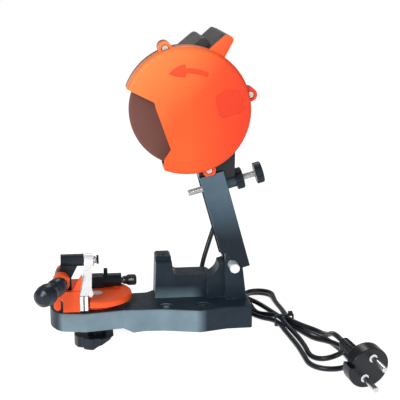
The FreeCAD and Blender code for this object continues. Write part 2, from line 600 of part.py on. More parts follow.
def on_block_rim(edge):
    """True for the outer edges of the stop block and the column above the base's top."""
    box_ = edge.BoundBox
    if box_.ZMin < S.base_height.value + CLEAR:
        return False
    level = any(lies_at(edge, AXIS_Y, side.value) for side in (S.block_near_y, S.block_far_y))
    return level and box_.XMax < S.gusset_left_x.value - CLEAR


def turned_cut(body, x, profile):
    """A groove about an upright axis at x."""
    before = body.Shape.Volume
    groove = body.newObject("PartDesign::Groove", f"{body.Name}_groove")
    points = [(x + radius, height) for radius, height in profile]
    sketch = new_sketch(body, "XZ", ZERO, [polygon(*points)])
    line = Part.LineSegment(FreeCAD.Vector(x.value, 0, 0), FreeCAD.Vector(x.value, 1, 0))
    axis = sketch.addGeometry(line, True)
    sketch.addConstraint(Sketcher.Constraint("Vertical", axis))
    hold(sketch, "DistanceX", axis, 1, x)
    hold(sketch, "DistanceY", axis, 1, ZERO)
    sketch.addConstraint(Sketcher.Constraint("DistanceY", axis, 1, axis, 2, 1.0))
    groove.Profile = sketch
    groove.ReferenceAxis = (sketch, ["Axis0"])
    groove.Angle = 360
    body.Tip = groove
    DOC.recompute()
    if body.Shape.Volume >= before:
        raise RuntimeError(f"a groove of {body.Label} cuts nothing")
    return groove


def make_base_fasteners():
    turned("stop_pin", [(ZERO, ZERO), (S.stop_pin_radius, ZERO),
                        (S.stop_pin_radius, S.spring_slot_near - S.stop_pin_end - S.pin_chamfer),
                        (S.stop_pin_radius - S.pin_chamfer, S.spring_slot_near - S.stop_pin_end),
                        (ZERO, S.spring_slot_near - S.stop_pin_end)],
           (S.stop_pin_x, S.spring_slot_near, S.stop_pin_z), (AXIS_X, QUARTER))
    arm_far = S.arm_near_y + S.arm_width
    pin_start = S.arm_near_y + S.pin_cover
    pin_length = arm_far - pin_start + S.pin_proud
    turned("hinge_pin", [(ZERO, ZERO), (S.hinge_pin_radius, ZERO), (S.hinge_pin_radius, pin_length),
                         (ZERO, pin_length)],
           (S.hinge_x, pin_start, S.hinge_z), TO_Y)
    turned("hinge_pin_clip", tube_profile(S.hinge_pin_radius, S.pin_clip_radius, S.running_gap,
                                          S.running_gap + S.pin_clip_thick),
           (S.hinge_x, arm_far, S.hinge_z), TO_Y)


# ---------------------------------------------------------------- swing arm and what it carries

def make_arm():
    near = S.arm_near_y
    far = S.arm_near_y + S.arm_width
    body = new_body("swing_arm", (S.hinge_x, ZERO, S.hinge_z), (-AXIS_Y, S.arm_lean))
    side = [(-S.arm_half, -S.arm_skirt), (-S.arm_skirt, -S.arm_half), (S.heel_left, -S.arm_half),
            (S.heel_left, -S.heel_drop), (S.arm_half, -S.heel_drop), (S.arm_half, S.arm_length),
            (-S.arm_half, S.arm_length)]
    extrude(body, "XZ", near, far, polygon(*side))
    hollow = [(-S.arm_half - CLEAR, -S.heel_drop - CLEAR), (S.arm_half - S.web_thick, -S.heel_drop - CLEAR),
              (S.arm_half - S.web_thick, S.arm_length - S.top_plate),
              (-S.arm_half - CLEAR, S.arm_length - S.top_plate)]
    cut(body, "XZ", near + S.cheek_thick, far - S.cheek_thick, polygon(*hollow))
    inner = S.stop_pin_swing - S.stop_pin_radius - S.pin_sweep_gap
    notch = [(-S.arm_half - CLEAR, S.notch_top), (-S.notch_left, S.notch_top, inner),
             (S.heel_left, -S.notch_drop), (S.heel_left, -S.heel_drop - CLEAR),
             (-S.arm_half - CLEAR, -S.heel_drop - CLEAR)]
    cut(body, "XZ", near - CLEAR, near + S.cheek_thick + CLEAR, polygon(*notch))
    cut(body, "XZ", near + S.pin_cover, far + CLEAR,
        circle(ZERO, ZERO, S.hinge_pin_radius + S.running_gap))
    faces = (near.value, far.value)
    round_edges(body, S.arm_edge, lambda edge: edge.Length > S.arm_length.value
                and any(lies_at(edge, AXIS_Y, side) for side in faces))
    extrude(body, "YZ", S.arm_half - CLEAR, S.rod_bush_out, circle(S.rod_y, S.rod_height, S.rod_bush_radius))
    cut(body, "YZ", S.arm_half - S.web_thick - CLEAR, S.rod_bush_out + CLEAR,
        circle(S.rod_y, S.rod_height, S.rod_radius + S.running_gap))
    spots = (S.neck_screw_near_y, S.neck_screw_far_y)
    screws = [circle(S.neck_screw_u, y, S.arm_screw + S.running_gap) for y in spots]
    cut(body, "XY", S.arm_length - S.top_plate - CLEAR, S.arm_length + CLEAR, *screws)
    return body


def on_rod(u):
    return arm_point(u, S.rod_y, S.rod_height)


def make_arm_fittings():
    along = (AXIS_Y, QUARTER - S.arm_lean)
    rod = S.rod_knob_out - S.rod_tip
    turned("depth_stop_rod", [(ZERO, ZERO), (S.rod_radius - S.pin_chamfer, ZERO),
                              (S.rod_radius, S.pin_chamfer), (S.rod_radius, rod - S.pin_chamfer),
                              (S.rod_radius - S.pin_chamfer, rod), (ZERO, rod)],
           on_rod(S.rod_tip), along)
    star_knob("depth_stop_knob", on_rod(S.rod_knob_in), along, S.rod_knob_out - S.rod_knob_in - S.pin_chamfer)
    star_knob("depth_lock_knob", on_rod(S.rod_bush_out + S.running_gap), along,
              S.lock_knob_out - S.rod_bush_out)
    make_arm_spring()
    body = new_body("neck_screws", arm_point(0, 0, S.arm_length - S.top_plate), (-AXIS_Y, S.arm_lean))
    spots = (S.neck_screw_near_y, S.neck_screw_far_y)
    heads = [circle(S.neck_screw_u, y, S.arm_screw_head) for y in spots]
    shanks = [circle(S.neck_screw_u, y, S.arm_screw) for y in spots]
    extrude(body, "XY", -S.arm_screw_tall, ZERO, *heads)
    extrude(body, "XY", -S.pin_chamfer, S.arm_screw_reach, *shanks)


def star_knob(label, at, turn, thick):
    """A round knob with scalloped rim on the depth rod."""
    body = turned(label, [(S.rod_radius + S.running_gap, ZERO), (S.star_radius, ZERO),
                          (S.star_radius, thick - S.knob_edge), (S.star_radius - S.knob_edge, thick),
                          (S.rod_radius + S.running_gap, thick)], at, turn)
    notch = cut(body, "XY", -S.pin_chamfer, thick + CLEAR,
                circle(S.star_radius + S.star_notch - S.star_bite, ZERO, S.star_notch))
    repeat(body, notch, "Z_Axis", S.star_lobes)
    return body


def make_arm_spring():
    """A torsion spring round the hinge pin, with a leg along the arm's web and a short foot."""
    coil = Part.makeHelix(S.spring_pitch.value, S.spring_pitch.value * S.spring_turns.value,
                          S.spring_coil.value)
    end = FreeCAD.Vector(S.spring_coil.value, 0, S.spring_pitch.value * S.spring_turns.value)
    leg = Part.makeLine(end, end + FreeCAD.Vector(0, S.spring_leg.value, 0))
    start = FreeCAD.Vector(S.spring_coil.value, 0, 0)
    foot = Part.makeLine(start + FreeCAD.Vector(0, -S.spring_foot.value, 0), start)
    wires = []
    for path in (coil, leg, foot):
        wire = Part.Wire(path.Edges)
        first = wire.Edges[0]
        begin = first.valueAt(first.FirstParameter)
        tangent = first.tangentAt(first.FirstParameter)
        ring = Part.Wire([Part.Circle(begin, tangent, S.spring_wire.value).toShape()])
        wires.append(wire.makePipeShell([ring], True, True))
    spring = wires[0].multiFuse(wires[1:]).removeSplitter()
    spring_node = shaped("arm_return_spring", spring)
    lean = FreeCAD.Rotation(-AXIS_Y, S.arm_lean.value).multiply(FreeCAD.Rotation(AXIS_X, 90))
    place(spring_node, (S.hinge_x, S.spring_slot_far - S.spring_side, S.hinge_z),
          (lean.Axis, as_size(math.degrees(lean.Angle))))


# ---------------------------------------------------------------- grinding head

def ears(offset=ZERO):
    return [circle(*round_point(S.ear_circle, angle), S.ear_radius + offset)
            for angle in (S.ear_one, S.ear_two, S.ear_three)]


def ear_circles(radius):
    return [circle(*round_point(S.ear_circle, angle), radius) for angle in (S.ear_one, S.ear_two, S.ear_three)]


def make_guard():
    body = new_body("wheel_guard_cover", head_point(0, 0, 0))
    extrude(body, "XZ", S.guard_face_y, S.guard_rear_y, circle(ZERO, ZERO, S.guard_radius))
    round_edges(body, S.guard_edge, lambda edge: lies_at(edge, AXIS_Y, S.guard_face_y.value))
    extrude(body, "XZ", S.ear_face_y, S.guard_rear_y, *ears())
    cut(body, "XZ", S.ear_face_y - CLEAR, S.guard_rear_y + CLEAR, arm_top_outline())
    extrude(body, "XZ", S.tab_near_y, S.handle_near_y, polygon(*outline_points("tab")))
    cut(body, "XZ", S.guard_face_y + S.guard_wall, S.guard_rear_y + CLEAR,
        circle(ZERO, ZERO, S.guard_radius - S.guard_wall))
    cut(body, "XZ", S.guard_face_y - CLEAR, S.guard_rear_y + CLEAR, polygon(*outline_points("window")))
    cut(body, "XZ", S.ear_face_y - CLEAR, S.ear_face_y + S.screw_head_tall, *ear_circles(S.screw_seat))
    cut(body, "XZ", S.ear_face_y - CLEAR, S.guard_rear_y + CLEAR, *ear_circles(S.screw_shank + S.running_gap))
    face = (S.guard_face_y - CLEAR, S.guard_face_y + S.badge_depth)
    cut(body, "XZ", *face, polygon(*outline_points("badge")))
    cut(body, "XZ", *face, polygon(*outline_points("arrow")))
    return body


def arm_top_outline():
    """The top of the arm in the wheel's frame, which the lower ear stands on."""
    reach = S.arm_half + S.part_gap
    foot = S.arm_length - S.neck_skirt
    points = [arm_point(u, 0, w) for u, w in ((-reach, foot), (reach, foot), (reach, S.arm_length),
                                              (-reach, S.arm_length))]
    return polygon(*[(point[0] - S.wheel_x, point[2] - S.wheel_z) for point in points])


def neck_outline():
    """The neck between the round housing and the top of the arm."""
    foot_left = arm_point(-S.arm_half, 0, S.arm_length)
    foot_right = arm_point(S.arm_half + S.part_gap, 0, S.arm_length)
    skirt_inner = arm_point(S.arm_half + S.part_gap, 0, S.arm_length - S.neck_skirt)
    skirt_outer = arm_point(S.arm_half + S.neck_reach, 0, S.arm_length - S.neck_skirt)
    points = [(point[0] - S.wheel_x, point[2] - S.wheel_z)
              for point in (foot_left, foot_right, skirt_inner, skirt_outer)]
    return polygon(*points, *outline_points("neck_top"))


def make_front_housing():
    body = new_body("motor_housing_front", head_point(0, 0, 0))
    extrude(body, "XZ", S.guard_rear_y, S.cup_rear_y, circle(ZERO, ZERO, S.guard_radius))
    extrude(body, "XZ", S.guard_rear_y, S.cup_rear_y, *ears())
    cut(body, "XZ", S.guard_rear_y - CLEAR, S.cup_rear_y + CLEAR, arm_top_outline())
    extrude(body, "XZ", S.handle_near_y, S.cup_rear_y, polygon(*outline_points("tab")))
    extrude(body, "XZ", S.neck_near_y, S.cup_rear_y, neck_outline())
    cut(body, "XZ", S.handle_near_y - CLEAR, S.guard_rear_y, *ears(S.part_gap))
    cut(body, "XZ", S.handle_near_y - CLEAR, S.guard_rear_y,
        circle(ZERO, ZERO, S.guard_radius + S.part_gap))
    cut(body, "XZ", S.handle_near_y - CLEAR, S.cup_rear_y - S.cup_plate,
        circle(ZERO, ZERO, S.guard_radius - S.guard_wall))
    cut(body, "XZ", S.guard_rear_y - CLEAR, S.cup_rear_y + CLEAR, polygon(*outline_points("window")))
    extrude(body, "XZ", S.cup_rear_y - S.cup_plate, S.cup_rear_y, circle(ZERO, ZERO, S.can_radius))
    boss = S.bearing_outer + S.boss_wall
    bearing_end = S.bearing_front_y + S.bearing_wide
    extrude(body, "XZ", S.cup_rear_y - CLEAR, bearing_end, circle(ZERO, ZERO, boss))
    cut(body, "XZ", S.bearing_front_y, bearing_end + CLEAR, circle(ZERO, ZERO, S.bearing_outer))
    cut(body, "XZ", S.guard_rear_y, S.bearing_front_y + CLEAR,
        circle(ZERO, ZERO, S.shoulder_radius + S.clear_gap))
    cut(body, "XZ", S.guard_rear_y - CLEAR, S.cup_rear_y - CLEAR, *ear_circles(S.screw_shank))
    cut(body, "XZ", S.cup_rear_y - S.screw_shank, S.cup_rear_y + CLEAR, *lug_circles(S.lug_screw))
    return bored("motor_housing_front", body, [neck_bore(S.neck_screw_near_y)])


def lug_angles():
    return (S.lug_one, S.lug_two, S.lug_three)


def lug_circles(radius):
    return [circle(*round_point(S.lug_circle, angle), radius) for angle in lug_angles()]


def bored(label, body, tools):
    """The node of a body with bores that lie square to none of its planes."""
    result = DOC.addObject("Part::Cut", f"{label}_bored")
    result.Base = body
    if len(tools) > 1:
        tool = DOC.addObject("Part::MultiFuse", f"{label}_bores")
        tool.Shapes = tools
    else:
        tool = tools[0]
    result.Tool = tool
    body.Label = f"{label}_solid"
    result.Label = label
    NODES[NODES.index(body)] = result
    DOC.recompute()
    return result


def neck_bore(y):
    """The screw hole from the arm into the neck, square to the arm's top."""
    start = arm_point(S.neck_screw_u, y, S.arm_length - CLEAR)
    return primitive("Cylinder", start, (-AXIS_Y, S.arm_lean), Radius=S.arm_screw,
                     Height=S.arm_screw_reach - S.top_plate + CLEAR * 2)


def make_rear_housing():
    body = new_body("motor_housing_rear", head_point(0, 0, 0))
    can_inner = S.can_radius - S.can_wall
    extrude(body, "XZ", S.cup_rear_y, S.can_rear_y, circle(ZERO, ZERO, S.can_radius))
    round_edges(body, S.can_edge, lambda edge: lies_at(edge, AXIS_Y, S.can_rear_y.value))
    lug_far = S.cup_rear_y + S.lug_depth
    extrude(body, "XZ", S.cup_rear_y, lug_far, *lug_circles(S.lug_radius))
    extrude(body, "XZ", S.cup_rear_y, S.handle_far_y, polygon(*outline_points("handle")))
    extrude(body, "XZ", S.bump_near_y, S.handle_far_y, polygon(*outline_points("bump")))
    extrude(body, "XZ", S.cup_rear_y, S.neck_far_y, neck_outline())
    pad = box(S.switch_root, S.switch_z - S.switch_half - S.switch_pad, S.can_radius + S.switch_rise,
              S.switch_z + S.switch_half + S.switch_pad)
    extrude(body, "XZ", S.switch_near_y - S.switch_pad, S.switch_far_y, pad)
    cut(body, "XZ", S.cup_rear_y - CLEAR, S.can_rear_y - S.can_end, circle(ZERO, ZERO, can_inner))
    cut(body, "XZ", S.cup_rear_y - CLEAR, S.handle_far_y - S.can_wall,
        polygon(*outline_points("handle_hollow")))
    rear_boss_y = S.can_rear_y - S.can_end - S.rear_bearing_wide
    extrude(body, "XZ", rear_boss_y, S.can_rear_y, circle(ZERO, ZERO, S.rear_bearing_outer + S.boss_wall))
    cut(body, "XZ", rear_boss_y - CLEAR, S.can_rear_y - S.can_end, circle(ZERO, ZERO, S.rear_bearing_outer))
    cut(body, "XZ", S.cup_rear_y - CLEAR, lug_far + CLEAR, *lug_circles(S.lug_screw + S.running_gap))
    cut(body, "XZ", lug_far - S.lug_head_sink, S.neck_far_y + CLEAR, *lug_circles(S.lug_head + S.part_gap))
    vent = cut(body, "XZ", S.can_rear_y - S.can_end - CLEAR, S.can_rear_y + CLEAR,
               box(S.vent_inner, -S.vent_wide / 2, S.vent_outer, S.vent_wide / 2))
    repeat(body, vent, "Y_Axis", S.vent_count)
    low = S.switch_z - S.switch_half
    high = S.switch_z + S.switch_half
    cut(body, "XZ", S.switch_near_y, S.switch_far_y - S.switch_pad,
        box(can_inner - S.can_wall, low, S.can_radius + S.switch_rise + CLEAR, high))
    relief = primitive("Cylinder", head_point(S.relief_x, S.relief_y, S.relief_z),
                       (AXIS_Y, QUARTER - S.relief_angle), Radius=S.relief_root + S.running_gap,
                       Height=S.relief_length)
    return bored("motor_housing_rear", body, [neck_bore(S.neck_screw_far_y), relief])


def cross_screws(label, at, turn, spots, head, tall, shank, reach, recess):
    """Pan screws that share a node, each head with a crossed recess."""
    body = new_body(label, at, turn)
    extrude(body, "XZ", ZERO, tall, *[circle(x, z, head) for x, z in spots])
    extrude(body, "XZ", tall - S.pin_chamfer, reach, *[circle(x, z, shank) for x, z in spots])
    for long_x, long_z in ((recess, recess / 4), (recess / 4, recess)):
        crosses = [box(x - long_x, z - long_z, x + long_x, z + long_z) for x, z in spots]
        cut(body, "XZ", -S.pin_chamfer, tall / 2, *crosses)
    return body


def make_head_screws():
    ear_spots = [round_point(S.ear_circle, angle) for angle in (S.ear_one, S.ear_two, S.ear_three)]
    cross_screws("guard_screws", head_point(0, S.ear_face_y, 0), None, ear_spots, S.screw_head,
                 S.screw_head_tall, S.screw_shank, S.cup_rear_y - CLEAR - S.ear_face_y, S.screw_cross)
    lug_spots = [round_point(S.lug_circle, angle) for angle in lug_angles()]
    body = new_body("housing_screws", head_point(0, 0, 0))
    base_y = S.cup_rear_y + S.lug_depth - S.lug_head_sink
    extrude(body, "XZ", base_y, base_y + S.screw_head_tall, *[circle(x, z, S.lug_head) for x, z in lug_spots])
    extrude(body, "XZ", S.cup_rear_y - S.screw_shank, base_y + S.pin_chamfer,
            *[circle(x, z, S.lug_screw) for x, z in lug_spots])


def make_spindle_group():
    rear_low = S.can_rear_y - S.can_end - S.rear_bearing_wide
    profile = [(ZERO, S.spindle_front_y), (S.spindle_radius, S.spindle_front_y), (S.spindle_radius, rear_low),
               (S.spindle_rear, rear_low), (S.spindle_rear, rear_low + S.rear_bearing_wide),
               (ZERO, rear_low + S.rear_bearing_wide)]
    turned("spindle", profile, head_point(0, 0, 0), TO_Y)
    half = S.wheel_thick / 2
    spigot = S.wheel_bore - S.running_gap
    turned("inner_flange", [(S.spindle_radius, -half + S.part_gap), (spigot, -half + S.part_gap),
                            (spigot, half), (S.flange_radius, half),
                            (S.flange_radius, half + S.inner_flange_thick),
                            (S.shoulder_radius, half + S.inner_flange_thick),
                            (S.shoulder_radius, S.bearing_front_y - S.running_gap),
                            (S.spindle_radius, S.bearing_front_y - S.running_gap)],
           head_point(0, 0, 0), TO_Y)
    turned("grinding_disc", [(S.wheel_bore, -half), (S.wheel_radius - S.wheel_bevel, -half),
                             (S.wheel_radius, -half + S.wheel_bevel), (S.wheel_radius, half - S.wheel_bevel),
                             (S.wheel_radius - S.wheel_bevel, half), (S.wheel_bore, half)],
           head_point(0, 0, 0), TO_Y)
    outer = -half - S.outer_flange_thick
    turned("outer_flange", [(S.spindle_radius, outer), (S.flange_radius - S.knob_edge, outer),
                            (S.flange_radius, outer + S.knob_edge), (S.flange_radius, -half),
                            (S.spindle_radius, -half)], head_point(0, 0, 0), TO_Y)
    body = new_body("disc_nut", head_point(0, 0, 0))
    corner = S.nut_across / 2 / cosine(S.hex_step / 2)
    extrude(body, "XZ", outer - S.nut_tall, outer, hexagon(corner))
    cut(body, "XZ", outer - S.nut_tall - CLEAR, outer + CLEAR, circle(ZERO, ZERO, S.spindle_radius))
    bearing("front_bearing", S.bearing_front_y, S.spindle_radius + S.running_gap, S.bearing_outer,
            S.bearing_wide)
    bearing("rear_bearing", rear_low, S.spindle_rear + S.running_gap, S.rear_bearing_outer,
            S.rear_bearing_wide)


def bearing(label, near, inner, outer, wide):
    """A sealed ball bearing with its shields set back between the rings."""
    ring = (outer - inner) * S.ring_share
    far = near + wide
    seal_near = near + S.seal_set
    seal_far = far - S.seal_set
    profile = [(inner, near), (inner + ring, near), (inner + ring, seal_near), (outer - ring, seal_near),
               (outer - ring, near), (outer, near), (outer, far), (outer - ring, far),
               (outer - ring, seal_far), (inner + ring, seal_far), (inner + ring, far), (inner, far)]
    return turned(label, profile, head_point(0, 0, 0), TO_Y)


def make_motor():
    at = head_point(0, 0, 0)
    core = new_body("armature_core", at)
    extrude(core, "XZ", S.core_near_y, S.core_far_y, circle(ZERO, ZERO, S.core_radius))
    cut(core, "XZ", S.core_near_y - CLEAR, S.core_far_y + CLEAR, circle(ZERO, ZERO, S.spindle_radius))
    slot = cut(core, "XZ", S.core_near_y - CLEAR, S.core_far_y + CLEAR,
               box(S.core_radius - S.core_slot_deep, -S.core_slot_wide / 2, S.core_radius + CLEAR,
                   S.core_slot_wide / 2))
    repeat(core, slot, "Y_Axis", S.core_slots)
    windings = new_body("armature_windings", at)
    wound = S.core_radius - S.winding_drop
    for near, far in ((S.core_near_y - S.winding_over, S.core_near_y),
                      (S.core_far_y, S.core_far_y + S.winding_over)):
        extrude(windings, "XZ", near, far, circle(ZERO, ZERO, wound))
    wire = S.core_slot_wide / 2 - S.running_gap
    filler = extrude(windings, "XZ", S.core_near_y - CLEAR, S.core_far_y + CLEAR,
                     box(S.core_radius - S.core_slot_deep + S.running_gap, -wire, wound - CLEAR, wire))
    repeat(windings, filler, "Y_Axis", S.core_slots)
    cut(windings, "XZ", S.core_near_y - S.winding_over - CLEAR, S.core_near_y,
        circle(ZERO, ZERO, S.shoulder_radius))
    cut(windings, "XZ", S.core_far_y, S.core_far_y + S.winding_over + CLEAR,
        circle(ZERO, ZERO, S.shoulder_radius))
    body = new_body("commutator", at)
    extrude(body, "XZ", S.commutator_near_y, S.commutator_far_y, circle(ZERO, ZERO, S.commutator_radius))
    cut(body, "XZ", S.commutator_near_y - CLEAR, S.commutator_far_y + CLEAR,
        circle(ZERO, ZERO, S.spindle_radius))
    bar = cut(body, "XZ", S.commutator_near_y - CLEAR, S.commutator_far_y + CLEAR,
              box(S.commutator_radius - S.bar_deep, -S.bar_gap / 2, S.commutator_radius + CLEAR, S.bar_gap / 2))
    repeat(body, bar, "Y_Axis", S.bar_count)
    make_fan(at)
    make_stator(at)
    make_brushes(at)


def make_fan(at):
    body = new_body("cooling_fan", at)
    extrude(body, "XZ", S.fan_near_y, S.fan_near_y + S.fan_plate, circle(ZERO, ZERO, S.fan_radius))
    extrude(body, "XZ", S.fan_near_y, S.fan_far_y, circle(ZERO, ZERO, S.fan_hub))
    blade = extrude(body, "XZ", S.fan_near_y + S.fan_plate / 2, S.fan_far_y,
                    polygon((S.fan_hub - CLEAR, ZERO), (S.fan_radius, S.fan_sweep),
                            (S.fan_radius, S.fan_sweep + S.fan_plate), (S.fan_hub - CLEAR, S.fan_plate)))
    repeat(body, blade, "Y_Axis", S.fan_blades)
    cut(body, "XZ", S.fan_near_y - CLEAR, S.fan_far_y + CLEAR, circle(ZERO, ZERO, S.spindle_radius))


def make_stator(at):
    body = new_body("stator_core", at)
    near = S.core_near_y - CLEAR
    far = S.core_far_y + CLEAR
    extrude(body, "XZ", near, far, circle(ZERO, ZERO, S.stator_outer))
    gap = S.core_radius + S.air_gap
    for left, right in ((-S.stator_side, -S.pole_half), (S.pole_half, S.stator_side)):
        cut(body, "XZ", near - CLEAR, far + CLEAR, box(left, -S.coil_high, right, S.coil_high))
    cut(body, "XZ", near - CLEAR, far + CLEAR, circle(ZERO, ZERO, gap))
    coils = new_body("field_coils", at)
    for low, high in ((S.coil_low, S.coil_high), (-S.coil_high, -S.coil_low)):
        end_turns = box(-S.coil_half, low, S.coil_half, high)
        extrude(coils, "XZ", near - S.coil_over, near - S.running_gap, end_turns)
        extrude(coils, "XZ", far + S.running_gap, far + S.coil_over, end_turns)
        pole_side = S.pole_half + S.part_gap
        for left, right in ((-S.coil_half, -pole_side), (pole_side, S.coil_half)):
            side = box(left, low + S.part_gap, right, high - S.part_gap)
            extrude(coils, "XZ", near - CLEAR, far + CLEAR, side)


def make_brushes(at):
    y = (S.commutator_near_y + S.commutator_far_y) / 2
    half = S.brush_half
    wall = half + S.brush_wall
    clear = half + S.running_gap
    holders = new_body("brush_holders", at)
    brushes = new_body("carbon_brushes", at)
    inner = S.commutator_radius + S.brush_stand
    outer = inner + S.brush_tube
    brush_end = S.commutator_radius + S.brush_length
    for low, high in ((inner, outer), (-outer, -inner)):
        extrude(holders, "XY", low, high, box(-wall, y - wall, wall, y + wall))
    for low, high in ((inner - CLEAR, outer - S.brush_wall), (S.brush_wall - outer, 1 - inner)):
        cut(holders, "XY", low, high, box(-clear, y - clear, clear, y + clear))
    for low, high in ((S.commutator_radius, brush_end), (-brush_end, -S.commutator_radius)):
        extrude(brushes, "XY", low, high, box(-half, y - half, half, y + half))
    cut(brushes, "XZ", y - wall, y + wall, circle(ZERO, ZERO, S.commutator_radius + S.running_gap))
    coil_low = brush_end + S.brush_wire
    coil_long = outer - S.brush_wall - coil_low - S.brush_wire
    coil_radius = half - S.brush_wire * 2
    springs = []
    for side in (-1, 1):
        helix = Part.makeHelix((coil_long / S.brush_turns).value, coil_long.value, coil_radius.value)
        begin = FreeCAD.Vector(coil_radius.value, 0, 0)
        ring = Part.Wire([Part.Circle(begin, AXIS_Y, S.brush_wire.value).toShape()])
        coil = Part.Wire(helix.Edges).makePipeShell([ring], True, True)
        start = FreeCAD.Vector(S.wheel_x.value, y.value, (S.wheel_z + side * coil_low).value)
        coil.Placement = FreeCAD.Placement(start, FreeCAD.Rotation(AXIS_Z, AXIS_Z * side))
        springs.append(coil)
    shaped("brush_springs", Part.makeCompound(springs))


def make_switch_and_relief():
    at = head_point(0, 0, S.switch_z)
    face = S.can_radius + S.switch_rise
    near = S.switch_near_y + S.running_gap
    far = S.switch_far_y - S.switch_pad - S.running_gap
    half = S.switch_half - S.running_gap
    body = new_body("switch_body", at)
    extrude(body, "YZ", S.switch_inner, face, box(near, -half, far, half))
    extrude(body, "YZ", face, face + S.switch_bezel, box(near - S.switch_lip, -half - S.switch_lip,
                                                         far + S.switch_lip, half + S.switch_lip))
    cut(body, "YZ", face - S.rocker_deep, face + S.switch_bezel + CLEAR,
        box(near + S.switch_bezel, -half + S.switch_bezel, far - S.switch_bezel, half - S.switch_bezel))
    middle = (near + far) / 2
    reach = (far - near) / 2 - S.switch_bezel - S.rocker_gap
    rocker = new_body("switch_rocker", (S.wheel_x + face + S.switch_bezel, middle, S.wheel_z + S.switch_z))
    waist = reach - S.rocker_taper
    profile = [(-S.rocker_root, -reach / 3), (-S.rocker_root, reach / 3), (-S.switch_bezel, waist),
               (S.rocker_rise, reach), (S.rocker_valley, ZERO), (-S.rocker_low, -reach),
               (-S.switch_bezel, -waist)]
    width = half - S.switch_bezel - S.rocker_gap
    extrude(rocker, "XY", -width, width, polygon(*profile))
    pivot_end = width + S.rocker_gap + S.pivot_reach
    extrude(rocker, "XY", -pivot_end, pivot_end, circle(-S.pivot_depth, ZERO, S.pivot_radius))
    cut(body, "XY", -pivot_end - S.running_gap, pivot_end + S.running_gap,
        circle(face + S.switch_bezel - S.pivot_depth, middle, S.pivot_radius + S.running_gap))
    relief_turn = (AXIS_Y, QUARTER - S.relief_angle)
    length = S.relief_length
    turned("strain_relief", [(ZERO, ZERO), (S.relief_root, ZERO), (S.relief_root, S.relief_flange),
                             (S.relief_tip, length), (ZERO, length)],
           head_point(S.relief_x, S.relief_y, S.relief_z), relief_turn)


# ---------------------------------------------------------------- vice

def make_turntable():
    body = new_body("vice_turntable", vice_point(0, 0, 0))
    extrude(body, "XY", ZERO, S.saucer_low + CLEAR, circle(ZERO, ZERO, S.hub_radius))
    extrude(body, "XY", S.saucer_low, S.saucer_high, circle(ZERO, ZERO, S.saucer_radius))
    round_edges(body, S.saucer_edge, lambda edge: lies_at(edge, AXIS_Z, S.saucer_high.value))
    recess = S.saucer_high - S.recess_depth
    cut(body, "XY", recess, S.saucer_high + CLEAR, circle(ZERO, ZERO, S.recess_radius))
    ledge_right = S.rail_gap_x - S.rail_gap / 2 - S.rail_thick
    extrude(body, "XY", S.saucer_low, S.ledge_top,
            box(S.ledge_left, S.wall_far_y, ledge_right, S.ledge_far_y))
    extrude(body, "XY", S.wall_low, S.wall_top,
            box(S.wall_left, S.wall_near_y, ledge_right, S.wall_far_y))
    extrude(body, "XZ", S.wall_near_y + CLEAR, S.wall_far_y - CLEAR, polygon(*outline_points("fin")))
    extrude(body, "XZ", S.wall_near_y, S.wall_far_y, polygon(*outline_points("pillar")))
    extrude(body, "XZ", S.boss_near_y, S.boss_far_y, circle(S.stop_axis_x, S.stop_axis_z, S.boss_radius))
    extrude(body, "XZ", S.post_near_y, S.post_far_y, polygon(*outline_points("rear_post")))
    extrude(body, "XZ", S.post_near_y, S.post_far_y, circle(S.stop_axis_x, S.stop_axis_z, S.post_half))
    hole = circle(S.stop_axis_x, S.stop_axis_z, S.stop_screw_radius + S.running_gap)
    cut(body, "XZ", S.boss_near_y - CLEAR, S.post_far_y + CLEAR, hole)
    rail_far = S.rail_gap_x + S.rail_gap / 2 + S.rail_thick
    cut(body, "XY", S.rail_floor, S.base_height,
        box(ledge_right, S.rail_near_y - CLEAR, rail_far + S.jaw_room, S.rail_far_y + CLEAR))
    cut(body, "XY", -S.base_height, S.saucer_high, circle(ZERO, ZERO, S.lock_bolt_radius))
    sink = S.saucer_high - S.recess_depth - S.lock_bolt_head_tall
    cut(body, "XY", sink, S.saucer_high + CLEAR, circle(ZERO, ZERO, S.lock_bolt_head + S.running_gap))
    cut(body, "XY", S.clamp_floor, S.base_height,
        box(S.clamp_left, S.clamp_y - S.clamp_half, S.clamp_step, S.clamp_y + S.clamp_half))
    guides = [circle(y, S.guide_z, S.guide_radius) for y in (S.guide_near_y, S.guide_far_y)]
    cut(body, "YZ", ledge_right - S.guide_grip, ledge_right + CLEAR, *guides)
    return body


def on_rail_top(edge):
    """True for the long upper edges of a jaw rail."""
    return runs_along(edge, AXIS_Y) and lies_at(edge, AXIS_Z, S.rail_high.value)


